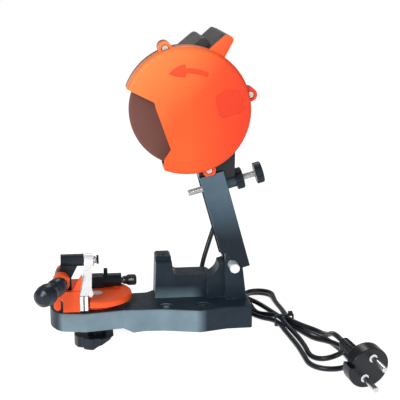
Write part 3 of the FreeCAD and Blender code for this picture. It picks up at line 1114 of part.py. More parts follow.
def make_rails():
    left = S.rail_gap_x - S.rail_gap / 2 - S.rail_thick
    fixed = new_body("fixed_jaw_rail", vice_point(0, 0, 0))
    rail = box(left, S.rail_low, left + S.rail_thick, S.rail_high)
    extrude(fixed, "XZ", S.rail_near_y, S.rail_far_y, rail)
    round_edges(fixed, S.rail_edge, on_rail_top)
    guides = [circle(y, S.guide_z, S.guide_radius) for y in (S.guide_near_y, S.guide_far_y)]
    cut(fixed, "YZ", left - CLEAR, left + S.rail_thick + CLEAR, *guides)
    moving = new_body("moving_jaw_rail", vice_point(0, 0, 0))
    right = S.rail_gap_x + S.rail_gap / 2
    extrude(moving, "XZ", S.rail_near_y, S.rail_far_y,
            box(right, S.rail_low, right + S.rail_thick, S.rail_high))
    round_edges(moving, S.rail_edge, on_rail_top)
    loose = [circle(y, S.guide_z, S.guide_radius + S.part_gap) for y in (S.guide_near_y, S.guide_far_y)]
    cut(moving, "YZ", right - CLEAR, right + S.rail_thick + CLEAR, *loose)
    cut(moving, "YZ", right + S.rail_thick - S.clamp_tip, right + S.rail_thick + CLEAR,
        circle(S.clamp_y, S.clamp_z, S.clamp_tip_radius + S.running_gap))
    screws = new_body("jaw_guide_screws", vice_point(0, 0, 0))
    spots = [(y, S.guide_z) for y in (S.guide_near_y, S.guide_far_y)]
    extrude(screws, "YZ", left - S.guide_grip, S.guide_head_left,
            *[circle(y, z, S.guide_radius) for y, z in spots])
    extrude(screws, "YZ", S.guide_head_left - S.pin_chamfer, S.guide_head_right,
            *[circle(y, z, S.guide_head) for y, z in spots])
    slots = [box(y - S.guide_head, z - S.pin_chamfer, y + S.guide_head, z + S.pin_chamfer) for y, z in spots]
    cut(screws, "YZ", S.guide_head_right - S.pin_chamfer * 2, S.guide_head_right + CLEAR, *slots)


def make_clamp():
    at = vice_point(0, 0, 0)
    body = new_body("clamp_housing", at)
    near = S.clamp_y - S.clamp_half
    far = S.clamp_y + S.clamp_half
    extrude(body, "XZ", near, far, box(S.clamp_left, S.clamp_floor, S.clamp_step, S.clamp_top))
    round_edges(body, S.block_edge, lambda edge: lies_at(edge, AXIS_Z, S.clamp_top.value))
    extrude(body, "YZ", S.clamp_step, S.clamp_right, circle(S.clamp_y, S.clamp_z, S.barrel_radius))
    cut(body, "XY", S.saucer_low, S.barrel_floor, box(S.clamp_step, near - S.clamp_half, S.clamp_right + CLEAR,
                                                      far + S.clamp_half))
    cut(body, "YZ", S.clamp_left - CLEAR, S.clamp_right + CLEAR,
        circle(S.clamp_y, S.clamp_z, S.clamp_screw_radius + S.running_gap))
    cut(body, "XY", S.clamp_z + S.clamp_screw_radius - CLEAR, S.base_height + S.clamp_top,
        circle(S.set_screw_x, S.clamp_y, S.set_screw_radius))
    body_set = new_body("clamp_set_screw", at)
    set_low = S.clamp_z + S.clamp_screw_radius + S.part_gap
    extrude(body_set, "XY", set_low, S.set_screw_top, circle(S.set_screw_x, S.clamp_y, S.set_screw_radius))
    cut(body_set, "XY", S.set_screw_top - S.set_screw_radius, S.set_screw_top + CLEAR,
        box(S.set_screw_x - S.set_screw_radius * 2, S.clamp_y - S.pin_chamfer,
            S.set_screw_x + S.set_screw_radius * 2, S.clamp_y + S.pin_chamfer))
    jaw = S.rail_gap_x + S.rail_gap / 2 + S.rail_thick
    start = vice_point(jaw - S.clamp_tip, S.clamp_y, S.clamp_z)
    end = S.wing_out - S.wing_cap - jaw + S.clamp_tip
    collar = S.collar_left - jaw + S.clamp_tip
    turned("clamp_screw", [(ZERO, ZERO), (S.clamp_tip_radius, ZERO), (S.clamp_tip_radius, S.clamp_tip),
                           (S.clamp_screw_radius, S.clamp_tip), (S.clamp_screw_radius, collar),
                           (S.collar_radius, collar), (S.collar_radius, collar + S.collar_thick),
                           (S.clamp_screw_radius, collar + S.collar_thick), (S.clamp_screw_radius, end),
                           (ZERO, end)], start, TO_X)
    knob = new_body("clamp_wing_knob", vice_point(0, S.clamp_y, S.clamp_z))
    hub_left = S.collar_left + S.collar_thick
    extrude(knob, "YZ", hub_left, hub_left + S.wing_hub_length, circle(ZERO, ZERO, S.wing_hub))
    wing = [(hub_left + CLEAR, -S.wing_hub + CLEAR), (hub_left + S.wing_hub_length, -S.wing_half),
            (S.wing_out - S.wing_corner, -S.wing_half, S.wing_corner),
            (S.wing_out, -S.wing_half + S.wing_corner),
            (S.wing_out, S.wing_half - S.wing_corner, S.wing_corner),
            (S.wing_out - S.wing_corner, S.wing_half), (hub_left + S.wing_hub_length, S.wing_half),
            (hub_left + CLEAR, S.wing_hub - CLEAR)]
    extrude(knob, "XZ", -S.wing_thick / 2, S.wing_thick / 2, polygon(*wing))
    cut(knob, "YZ", hub_left - CLEAR, S.wing_out - S.wing_cap, circle(ZERO, ZERO, S.clamp_screw_radius))


def make_chain_stop():
    at = vice_point(0, 0, 0)
    body = new_body("stop_bracket", at)
    extrude(body, "XZ", S.carriage_near_y, S.carriage_far_y,
            circle(S.stop_axis_x, S.stop_axis_z, S.carriage_radius))
    extrude(body, "XZ", S.sleeve_y - S.stem_half, S.sleeve_y + S.stem_half, polygon(*outline_points("stem")))
    extrude(body, "YZ", S.sleeve_left, S.sleeve_right, circle(S.sleeve_y, S.sleeve_z, S.sleeve_radius))
    cut(body, "XZ", S.carriage_near_y - CLEAR, S.carriage_far_y + CLEAR,
        circle(S.stop_axis_x, S.stop_axis_z, S.stop_screw_radius + S.running_gap))
    cut(body, "YZ", S.sleeve_left + S.sleeve_end, S.sleeve_right + CLEAR,
        circle(S.sleeve_y, S.sleeve_z, S.pawl_pin_radius))
    pin_left = S.sleeve_left + S.sleeve_end
    pin = pin_profile(S.pawl_pin_radius, S.pin_end - pin_left)
    turned("pawl_pin", pin, vice_point(pin_left, S.sleeve_y, S.sleeve_z), TO_X)
    nut_left = S.pawl_right + S.pin_head_gap
    turned("pawl_pin_nut", tube_profile(S.pawl_pin_radius, S.pin_head_radius, ZERO, S.pin_head_thick),
           vice_point(nut_left, S.sleeve_y, S.sleeve_z), TO_X)
    pawl = new_body("chain_stop_pawl", vice_point(0, S.sleeve_y, S.sleeve_z), (AXIS_X, -S.pawl_lean))
    left = S.sleeve_right + S.part_gap
    extrude(pawl, "YZ", left, S.pawl_right, circle(ZERO, ZERO, S.pawl_half))
    extrude(pawl, "XZ", -S.pawl_thick / 2, S.pawl_thick / 2, polygon(*outline_points("pawl")))
    cut(pawl, "YZ", left - CLEAR, S.pawl_right + CLEAR, circle(ZERO, ZERO, S.pawl_pin_radius + S.running_gap))
    make_pawl_spring()


def pin_profile(radius, length):
    return [(ZERO, ZERO), (radius - S.pin_chamfer, ZERO), (radius, S.pin_chamfer),
            (radius, length - S.pin_chamfer), (radius - S.pin_chamfer, length), (ZERO, length)]


def make_pawl_spring():
    """A light torsion spring round the pawl's pin, with its tail along the pawl."""
    coil = Part.makeHelix(S.pawl_spring_pitch.value, S.pawl_spring_pitch.value * S.pawl_spring_turns.value,
                          S.pawl_spring_coil.value)
    begin = FreeCAD.Vector(S.pawl_spring_coil.value, 0, 0)
    tail = Part.makeLine(begin + FreeCAD.Vector(0, -S.pawl_spring_tail.value, 0), begin)
    pieces = []
    for edges in (coil.Edges, tail.Edges):
        wire = Part.Wire(edges)
        first = wire.Edges[0]
        at = first.valueAt(first.FirstParameter)
        ring = Part.Wire([Part.Circle(at, first.tangentAt(first.FirstParameter),
                                      S.pawl_spring_wire.value).toShape()])
        pieces.append(wire.makePipeShell([ring], True, True))
    spring = shaped("pawl_spring", pieces[0].fuse(pieces[1]))
    start = S.pawl_right + S.pawl_spring_wire + S.part_gap / 2
    place(spring, vice_point(start, S.sleeve_y, S.sleeve_z), (AXIS_Y, QUARTER))


def make_stop_screw():
    screw_length = S.post_far_y - S.stop_screw_start + S.stop_screw_over
    turned("stop_screw", pin_profile(S.stop_screw_radius, screw_length),
           vice_point(S.stop_axis_x, S.stop_screw_start, S.stop_axis_z), TO_Y)
    collar = tube_profile(S.stop_screw_radius, S.stop_collar_radius, ZERO, S.stop_collar_long)
    turned("stop_knob_collar", collar, vice_point(S.stop_axis_x, S.grip_start, S.stop_axis_z), TO_Y)
    out = FreeCAD.Vector(S.grip_out_x.value, S.grip_out_y.value, S.grip_out_z.value)
    turn = FreeCAD.Rotation(AXIS_Z, out)
    long = S.grip_length
    profile = [(ZERO, ZERO), (S.grip_waist, ZERO), (S.grip_middle, long * S.grip_share_one),
               (S.grip_middle, long * S.grip_share_two), (S.grip_waist, long * S.grip_share_three),
               (S.grip_ball * S.grip_shoulder, long * S.grip_share_four),
               (S.grip_ball, long * S.grip_share_five), (S.grip_ball, long * S.grip_share_six),
               (S.grip_ball * S.grip_shoulder, long * S.grip_share_seven),
               (S.grip_ball * S.grip_crown, long), (ZERO, long)]
    grip = turned("stop_knob_grip", profile, vice_point(S.stop_axis_x, S.grip_root_y, S.stop_axis_z),
                  (turn.Axis, as_size(math.degrees(turn.Angle))))
    shank = primitive("Cylinder", vice_point(S.stop_axis_x, S.stop_screw_start, S.stop_axis_z), TO_Y,
                      Radius=S.stop_screw_radius, Height=-S.stop_screw_start)
    corner = vice_point(S.stop_axis_x - S.grip_length, S.grip_start, S.stop_axis_z - S.grip_length)
    behind = primitive("Box", corner, Length=S.grip_length * 2, Width=S.grip_length, Height=S.grip_length * 2)
    bored("stop_knob_grip", grip, [shank, behind])


def make_angle_lock():
    at = (S.turn_x, ZERO, ZERO)
    head_low = S.base_height + S.saucer_high - S.recess_depth - S.lock_bolt_head_tall
    washer_high = S.front_underside
    washer_low = washer_high - S.lock_washer_thick
    body = new_body("angle_lock_screw", at)
    extrude(body, "XY", S.lock_bolt_end, head_low, circle(ZERO, ZERO, S.lock_bolt_radius))
    extrude(body, "XY", head_low, head_low + S.lock_bolt_head_tall, circle(ZERO, ZERO, S.lock_bolt_head))
    corner = S.lock_bolt_radius * S.hex_share
    cut(body, "XY", head_low + S.lock_bolt_head_tall / 3, head_low + S.lock_bolt_head_tall + CLEAR,
        hexagon(corner))
    turned("angle_lock_washer", tube_profile(S.lock_bolt_radius + S.part_gap, S.lock_washer_radius, washer_low,
                                             washer_high), at)
    knob = new_body("angle_lock_knob", at)
    extrude(knob, "XY", S.lock_knob_low, S.lock_knob_rim, circle(ZERO, ZERO, S.lock_knob_radius))
    lobe = cut(knob, "XY", S.lock_knob_low - CLEAR, S.lock_knob_rim + CLEAR,
               circle(S.lock_knob_radius + S.lock_knob_notch - S.lock_knob_bite, ZERO, S.lock_knob_notch))
    repeat(knob, lobe, "Z_Axis", S.lock_knob_lobes)
    round_edges(knob, S.knob_edge, lambda edge: lies_at(edge, AXIS_Z, S.lock_knob_low.value))
    extrude(knob, "XY", S.lock_knob_rim - CLEAR, washer_low, circle(ZERO, ZERO, S.lock_knob_hub))
    cut(knob, "XY", S.lock_bolt_end, washer_low + CLEAR, circle(ZERO, ZERO, S.lock_bolt_radius + S.running_gap))


# ---------------------------------------------------------------- mains lead

def tube_along(points, radius):
    """A round tube of straight runs joined by tangent arcs, with its length and smallest bend."""
    edges = []
    bends = []
    start = points[0]
    for before, corner, after in zip(points, points[1:], points[2:]):
        toward = (before - corner).normalize()
        away = (after - corner).normalize()
        half_turn = (math.pi - toward.getAngle(away)) / 2
        setback = S.bend_share.value * min((before - corner).Length, (after - corner).Length)
        bend = setback / math.tan(half_turn)
        bends.append(bend)
        middle = (toward + away).normalize()
        to_centre = math.hypot(bend, setback)
        first = corner + toward * setback
        last = corner + away * setback
        edges.append(Part.LineSegment(start, first).toShape())
        edges.append(Part.Arc(first, corner + middle * (to_centre - bend), last).toShape())
        start = last
    edges.append(Part.LineSegment(start, points[-1]).toShape())
    wire = Part.Wire(edges)
    ring = Part.Wire([Part.Circle(points[0], points[1] - points[0], radius).toShape()])
    tube = wire.makePipeShell([ring], True, True)
    expected = math.pi * radius ** 2 * wire.Length
    if abs(tube.Volume - expected) > expected * S.tube_tolerance.value:
        raise RuntimeError("a cord tube's volume differs from its section times its length")
    print("cord run", round(wire.Length, 1), "mm, smallest bend", round(min(bends), 1), "mm")
    return tube


def value_points(points):
    return [FreeCAD.Vector(*(as_size(number).value for number in point)) for point in points]


def plug_turn():
    """The rotation that leans the plug's face frame: its third axis runs out along the pins."""
    out = FreeCAD.Vector(S.plug_out_x.value, S.plug_out_y.value, S.plug_out_z.value)
    across = FreeCAD.Vector(-S.plug_out_y.value, S.plug_out_x.value, S.plug_roll.value)
    turn = FreeCAD.Rotation(across, FreeCAD.Vector(0, 0, 0), out, "ZXY")
    return turn


def make_lead():
    relief_end = (S.wheel_x + S.relief_x + S.relief_length * cosine(S.relief_angle), S.relief_y,
                  S.wheel_z + S.relief_z + S.relief_length * sine(S.relief_angle))
    first_bend = (relief_end[0] + S.cord_first_run * cosine(S.relief_angle), S.relief_y,
                  relief_end[2] + S.cord_first_run * sine(S.relief_angle))
    drop = value_points([relief_end, first_bend] + outline_points("cord_drop"))
    turn = plug_turn()
    face = FreeCAD.Vector(S.plug_x.value, S.plug_y.value, S.plug_z.value)
    out = turn.multVec(AXIS_Z)
    tail_end = face - out * (S.plug_depth.value + S.plug_collar_length.value + S.plug_tail_length.value)
    rise = value_points(outline_points("cord_rise")) + [tail_end - out * S.cord_last_run.value, tail_end]
    tubes = [tube_along(drop, S.cord_radius.value), tube_along(rise, S.cord_radius.value)]
    shaped("power_cord_tube", Part.makeCompound(tubes))
    hank = new_body("cord_hank")
    extrude(hank, "XY", ZERO, S.hank_high, polygon(*outline_points("hank")))
    tie_near = S.tie_y - S.tie_width / 2
    tie_far = S.tie_y + S.tie_width / 2
    cut(hank, "XY", -S.tie_thick, S.tie_thick,
        box(S.tie_left - S.tie_width, tie_near, S.tie_right + S.tie_width, tie_far))
    tie = new_body("cable_tie")
    extrude(tie, "XZ", tie_near, tie_far,
            box(S.tie_left - S.tie_thick, ZERO, S.tie_right + S.tie_thick, S.hank_high + S.tie_thick))
    extrude(tie, "XZ", tie_near, tie_far, box(S.tie_right - S.tie_head, S.hank_high, S.tie_right,
                                              S.hank_high + S.tie_head))
    cut(tie, "XZ", tie_near - CLEAR, tie_far + CLEAR, box(S.tie_left, S.tie_thick, S.tie_right, S.hank_high))
    plug_at = (S.plug_x, S.plug_y, S.plug_z)
    plug_turned = (turn.Axis, as_size(math.degrees(turn.Angle)))
    plug = new_body("plug_body", plug_at, plug_turned)
    extrude(plug, "XY", -S.plug_depth, ZERO, circle(ZERO, ZERO, S.plug_face_radius))
    round_edges(plug, S.plug_edge, lambda edge: True)
    rim = S.plug_face_radius + CLEAR
    for left, right in ((-rim, -S.plug_notch), (S.plug_notch, rim)):
        cut(plug, "XY", -rim, rim, box(left, -S.plug_notch_half, right, S.plug_notch_half))
    collar = -S.plug_depth - S.plug_collar_length
    extrude(plug, "XY", collar, -S.plug_depth + CLEAR, circle(ZERO, ZERO, S.plug_tail_radius + S.plug_edge * 2))
    extrude(plug, "XY", collar - S.plug_tail_length, collar, circle(ZERO, ZERO, S.plug_tail_radius))
    spots = [(ZERO, side * S.plug_pin_spacing / 2) for side in (-1, 1)]
    roots = [circle(x, y, S.plug_pin_root) for x, y in spots]
    cut(plug, "XY", -S.plug_depth / 2, ZERO + CLEAR, *roots)
    pins = new_body("plug_pins", plug_at, plug_turned)
    extrude(pins, "XY", ZERO, S.plug_pin_length, *[circle(x, y, S.plug_pin_radius) for x, y in spots])
    extrude(pins, "XY", -S.plug_depth / 2, CLEAR, *roots)
    round_edges(pins, S.pin_tip, lambda edge: lies_at(edge, AXIS_Z, S.plug_pin_length.value))


# ---------------------------------------------------------------- build, check and write

make_base()
make_base_fasteners()
make_arm()
make_arm_fittings()
make_guard()
make_front_housing()
make_rear_housing()
make_head_screws()
make_spindle_group()
make_motor()
make_switch_and_relief()
make_turntable()
make_rails()
make_clamp()
make_chain_stop()
make_stop_screw()
make_angle_lock()
make_lead()
DOC.recompute()

for item in DOC.Objects:
    if any(flag in item.State for flag in ("Invalid", "Error")):
        raise RuntimeError(f"{item.Label} is {item.State}")

os.makedirs("parts", exist_ok=True)
for node in NODES:
    if node.Shape.isNull() or not node.Shape.isValid() or not node.Shape.Solids:
        raise RuntimeError(f"{node.Label} has no valid solid")
    node.Shape.exportStep(f"parts/{node.Label}.step")
    print(node.Label, len(node.Shape.Solids), round(node.Shape.Volume, 1))
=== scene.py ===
import json
import math

import bmesh
import bpy
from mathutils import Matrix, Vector


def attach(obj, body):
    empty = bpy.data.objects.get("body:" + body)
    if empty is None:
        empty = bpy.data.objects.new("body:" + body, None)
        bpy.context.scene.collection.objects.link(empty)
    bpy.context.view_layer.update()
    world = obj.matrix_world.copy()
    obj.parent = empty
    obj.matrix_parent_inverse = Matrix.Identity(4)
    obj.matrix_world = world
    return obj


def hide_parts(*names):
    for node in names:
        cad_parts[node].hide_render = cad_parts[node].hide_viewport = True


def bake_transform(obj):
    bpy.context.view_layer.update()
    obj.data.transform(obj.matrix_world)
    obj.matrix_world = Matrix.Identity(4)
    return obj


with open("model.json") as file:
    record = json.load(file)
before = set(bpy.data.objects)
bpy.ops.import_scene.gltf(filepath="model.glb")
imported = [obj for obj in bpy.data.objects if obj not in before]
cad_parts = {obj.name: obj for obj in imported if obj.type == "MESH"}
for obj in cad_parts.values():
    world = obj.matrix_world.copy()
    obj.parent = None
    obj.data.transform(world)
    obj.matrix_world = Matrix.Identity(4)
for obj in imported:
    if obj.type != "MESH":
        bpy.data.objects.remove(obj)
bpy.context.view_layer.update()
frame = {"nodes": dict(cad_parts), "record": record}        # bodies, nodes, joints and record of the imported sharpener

NODES = frame["nodes"]

# Camera: 400 x 400 frame, metres.
CAMERA_AT = Vector((-0.09304, -0.96214, 0.35410))
CAMERA_AIM = Vector((0.01703, 0.004, 0.12065))
CAMERA_LENS = 93.27

# Studio: white bench that glows, and a white room that dims from the first height to the second.
BENCH_GLOW = 0.90
ROOM_GLOW = 0.28
HORIZON = (0.06, 0.12)

# Mains lead, metres.
CORD_RADIUS = 0.0024
CORD_ROUTE = [
    # strain relief, down behind the arm to the bench
    (0.0431, 0.0800, 0.1488), (0.0473, 0.0800, 0.1375), (0.0485, 0.0780, 0.1180),
    (0.0450, 0.0720, 0.0980), (0.0390, 0.0650, 0.0790), (0.0315, 0.0590, 0.0600),
    (0.0250, 0.0550, 0.0410), (0.0220, 0.0540, 0.0200), (0.0370, 0.0540, 0.0040),
    (0.0490, 0.0535, 0.0028), (0.0580, 0.0510, 0.0026), (0.0635, 0.0420, 0.0026),
    # along the base's end to the tie
    (0.0668, 0.0300, 0.0026), (0.0675, 0.0140, 0.0026), (0.0700, 0.0020, 0.0026),
    (0.0775, -0.0085, 0.0026), (0.0868, -0.0170, 0.0034), (0.0912, -0.0300, 0.0036),
    # outer loop in front
    (0.0925, -0.0460, 0.0030), (0.0950, -0.0660, 0.0026), (0.0970, -0.0880, 0.0026),
    (0.0975, -0.1100, 0.0026), (0.0978, -0.1310, 0.0026), (0.1088, -0.1427, 0.0026),
    (0.1250, -0.1427, 0.0026), (0.1358, -0.1310, 0.0026), (0.1358, -0.1120, 0.0026),
    (0.1320, -0.0920, 0.0026), (0.1270, -0.0720, 0.0026), (0.1205, -0.0540, 0.0026),
    (0.1105, -0.0420, 0.0030), (0.1014, -0.0290, 0.0037), (0.1017, -0.0120, 0.0036),
    # outer loop behind
    (0.1017, 0.0080, 0.0028), (0.0999, 0.0270, 0.0026), (0.0986, 0.0440, 0.0026),
    (0.0984, 0.0590, 0.0026), (0.0892, 0.0680, 0.0026), (0.0765, 0.0680, 0.0026),
    (0.0680, 0.0585, 0.0026), (0.0690, 0.0450, 0.0026), (0.0722, 0.0320, 0.0026),
    (0.0724, 0.0160, 0.0026), (0.0755, 0.0040, 0.0027), (0.0832, -0.0070, 0.0053),
    (0.0908, -0.0165, 0.0076), (0.0934, -0.0270, 0.0078),
    # inner loop in front
    (0.0948, -0.0380, 0.0070), (0.0995, -0.0540, 0.0040), (0.1025, -0.0720, 0.0026),
    (0.1033, -0.0900, 0.0026), (0.1026, -0.1125, 0.0026), (0.1110, -0.1245, 0.0042),
    (0.1247, -0.1245, 0.0074), (0.1335, -0.1130, 0.0075), (0.1315, -0.0990, 0.0075),
    (0.1230, -0.0860, 0.0066), (0.1155, -0.0720, 0.0036), (0.1100, -0.0560, 0.0028),
    (0.1040, -0.0420, 0.0034), (0.0963, -0.0300, 0.0038), (0.0955, -0.0120, 0.0034),
    # inner loop behind
    (0.0905, 0.0030, 0.0032), (0.0845, 0.0150, 0.0048), (0.0765, 0.0260, 0.0074),
    (0.0693, 0.0370, 0.0075), (0.0678, 0.0510, 0.0075), (0.0768, 0.0605, 0.0075),
    (0.0900, 0.0605, 0.0075), (0.0981, 0.0510, 0.0075), (0.0968, 0.0360, 0.0076),
    (0.0963, 0.0200, 0.0076), (0.0980, 0.0020, 0.0078), (0.0984, -0.0120, 0.0080),
    (0.0984, -0.0260, 0.0080),
    # over the loop and up to the plug
    (0.1030, -0.0380, 0.0080), (0.1105, -0.0490, 0.0076), (0.11865, -0.06025, 0.0075),
    (0.1228, -0.0765, 0.0096), (0.1240, -0.0930, 0.0152), (0.1222, -0.1095, 0.0226),
    (0.1222, -0.1268, 0.0277), (0.1258, -0.1401, 0.0253),
]

# Strain relief on the rear housing, metres.
RELIEF_ROOT = Vector((0.0316, 0.0800, 0.1797))
RELIEF_TIP = Vector((0.0431, 0.0800, 0.1488))
RELIEF_ROOT_RADIUS = 0.0055
RELIEF_TIP_RADIUS = 0.0033
RELIEF_RIBS = 8

# A ribbed sleeve, as shares of its length: where its ribs begin and how far they run.
RIBS_FROM = 0.12
RIBS_RUN = 0.76
SLEEVE_CHAMFER = 0.0004

# Plug, metres: the middle of its face, the way it points and its turn about that.
PLUG_FACE = Vector((0.137, -0.181, 0.018))
PLUG_OUT = Vector((0.26, -0.95, -0.17)).normalized()
PLUG_TAIL = PLUG_FACE - PLUG_OUT * 0.043
PLUG_COLLAR = PLUG_FACE - PLUG_OUT * 0.019
PLUG_TAIL_RADIUS = 0.0050
PLUG_COLLAR_PROUD = 0.0012
PLUG_TIP_PROUD = 0.0002
PLUG_GROOVE = 0.0012
PLUG_RIBS = 7
PIN_SPACING = 0.019
PIN_ROW = Vector((0.3203, -0.0813, 0.9438))
PIN_ROOTS = [PLUG_FACE + PIN_ROW * (side * PIN_SPACING / 2) for side in (-1, 1)]
SLEEVE_RADIUS = 0.0036
SLEEVE_EDGE = 0.0001
SLEEVE_DEPTH = (-0.0006, -0.0004)

# Wheel axis, metres, and the arm's lean.
WHEEL_AXIS = Vector((0.0034, 0.0, 0.210))
ARM_LEAN = math.radians(15.5)

# Where the orange enamel changes, metres: (not at all, fully). Its paler upper left is painted highlight; its redder
# right and sunk marks are painted shade.
HIGHLIGHT_WAY = (-0.75, 0, 0.66)
HIGHLIGHT_SPAN = (0.137, 0.200)
SHADE_SPAN = (0.005, 0.055)
MARK_NEAR = (-0.0169, -0.0165)
MARK_FAR = (-0.0158, -0.0162)
MARK_REACH = (0.0550, 0.0545)
SWELL_REACH = (0.0235, 0.0215)

# Where the disc's rim is worn, metres from the wheel axis: (not at all, fully).
RIM_REACH = (0.0505, 0.0535)

# Y of the normal of a face on the user's side: (not at all, fully).
NEAR_FACE = (-0.55, -0.95)

# The wave texture multiplies every place by this.
WAVE_FACTOR = 20


# ---------------------------------------------------------------- materials

class Look:
    """A Principled material built by short calls; textures lie in the row frame, in metres."""

    def __init__(self, name, **constants):
        self.material = bpy.data.materials.new(name)
        self.material.use_nodes = True
        self.tree = self.material.node_tree
        self.shader = self.tree.nodes["Principled BSDF"]
        for socket, value in constants.items():
            self.shader.inputs[socket.replace("_", " ").title().replace("Ior", "IOR")].default_value = value
        self.place = self.tree.nodes.new("ShaderNodeTexCoord").outputs["Object"]

    def node(self, kind, links=(), **settings):
        made = self.tree.nodes.new(kind)
        for name, value in settings.items():
            setattr(made, name, value)
        for socket, source in dict(links).items():
            if isinstance(source, bpy.types.NodeSocket):
                self.tree.links.new(source, made.inputs[socket])
            else:
                made.inputs[socket].default_value = source
        return made

    def stretched(self, stretch=(1, 1, 1), turn=(0, 0, 0), move=(0, 0, 0)):
        links = {"Vector": self.place, "Scale": stretch, "Rotation": turn, "Location": move}
        return self.node("ShaderNodeMapping", links).outputs["Vector"]

    def noise(self, size, detail=3.0, roughness=0.55, where=None):
        """Noise whose blotches are about size metres."""
        links = {"Vector": where or self.place, "Scale": 1 / size, "Detail": detail, "Roughness": roughness}
        return self.node("ShaderNodeTexNoise", links).outputs["Fac"]

    def grains(self, size, output="Distance"):
        """Round grains about size metres apart."""
        links = {"Vector": self.place, "Scale": 1 / size}
        return self.node("ShaderNodeTexVoronoi", links).outputs[output]

    def bands(self, pitch, where=None, direction="X"):
        """Smooth ridges a pitch apart along a direction."""
        links = {"Vector": where or self.place, "Scale": math.tau / WAVE_FACTOR / pitch}
        return self.node("ShaderNodeTexWave", links, wave_type="BANDS",
                         bands_direction=direction, wave_profile="SIN").outputs["Fac"]

    def span(self, value, low, high, to_low=0.0, to_high=1.0):
        """The value's way from low to high, held at both ends."""
        links = {"Value": value, "From Min": low, "From Max": high, "To Min": to_low, "To Max": to_high}
        return self.node("ShaderNodeMapRange", links, clamp=True).outputs["Result"]

    def mix(self, share, first, second):
        """From the first colour to the second as the share goes from 0 to 1."""
        links = {"Factor": share}
        made = self.node("ShaderNodeMix", links, data_type="RGBA")
        for socket, value in ((made.inputs[6], first), (made.inputs[7], second)):
            if isinstance(value, bpy.types.NodeSocket):
                self.tree.links.new(value, socket)
            else:
                socket.default_value = (*value, 1.0)
        return made.outputs[2]

    def times(self, first, second):
        return self.node("ShaderNodeMath", {0: first, 1: second}, operation="MULTIPLY").outputs[0]

    def edges(self, width, breakup=0.006):
        """1 on sharp edges, broken up by noise, 0 on faces."""
        rounded = self.node("ShaderNodeBevel", {"Radius": width}, samples=6).outputs["Normal"]
        true = self.node("ShaderNodeNewGeometry").outputs["Normal"]
        facing = self.vector("DOT_PRODUCT", rounded, true)
        worn = self.span(facing, 0.99, 0.90)
        return self.times(worn, self.span(self.noise(breakup), 0.38, 0.62))

    def vector(self, operation, first, second=None, output="Value"):
        links = {0: first} if second is None else {0: first, 1: second}
        return self.node("ShaderNodeVectorMath", links, operation=operation).outputs[output]

    def split(self, vector):
        """The X, Y and Z of a vector."""
        return self.node("ShaderNodeSeparateXYZ", {"Vector": vector}).outputs

    def from_wheel_axis(self):
        """Distance from the wheel axis, in metres."""
        flat = self.stretched((1, 0, 1), move=(-WHEEL_AXIS.x, 0, -WHEEL_AXIS.z))
        return self.vector("LENGTH", flat)

    def near_side(self):
        """1 on faces turned to the user, 0 on all others."""
        true = self.node("ShaderNodeNewGeometry").outputs["Normal"]
        return self.span(self.split(true)["Y"], *NEAR_FACE)

    def bump(self, *layers):
        """Heights as (value, depth in metres), one over the other."""
        normal = None
        for height, depth in layers:
            links = {"Height": height, "Distance": depth, "Strength": 1.0}
            if normal is not None:
                links["Normal"] = normal
            normal = self.node("ShaderNodeBump", links).outputs["Normal"]
        self.tree.links.new(normal, self.shader.inputs["Normal"])
        return self

    def colour(self, socket):
        self.tree.links.new(socket, self.shader.inputs["Base Color"])

    def rough(self, value, low, high):
        self.tree.links.new(self.span(value, 0.3, 0.7, low, high), self.shader.inputs["Roughness"])


def cast_paint(name, deep, pale, worn, low=0.30, high=0.48, painted_sheen=None):
    """Thick satin paint on a casting: mottled, orange-peel surface, rubbed pale on its edges.

    The last argument, when given, is ((axis, none at, full at), ..., colour): painted sheen, a pale reflection of light
    painted in patches onto near faces.
    """
    look = Look(name, specular_ior_level=0.18)
    blotch = look.noise(0.022, 4.0, 0.6)
    flecks = look.span(look.noise(0.0016, 2.0), 0.68, 0.76)
    body = look.mix(look.span(blotch, 0.35, 0.68), deep, pale)
    # Painted sheen: near faces are painted paler in patches, fading along the given axes, as the reflection of light on
    # the satin paint.
    if painted_sheen:
        *limits, sheen_colour = painted_sheen
        place = look.split(look.place)
        sheen_patches = look.span(look.noise(0.030, 5.0, 0.65), 0.25, 0.60, 0.70, 1.0)
        share = look.times(look.near_side(), sheen_patches)
        for axis, none_at, full_at in limits:
            share = look.times(share, look.span(place[axis], none_at, full_at))
        body = look.mix(share, body, sheen_colour)
    body = look.mix(look.times(flecks, 0.2), body, worn)
    look.colour(look.mix(look.times(look.edges(0.0007), 0.75), body, worn))
    look.rough(look.noise(0.009, 5.0), low, high)
    return look.bump((look.noise(0.012, 2.0), 0.00018), (look.noise(0.0011, 3.0), 0.00009))


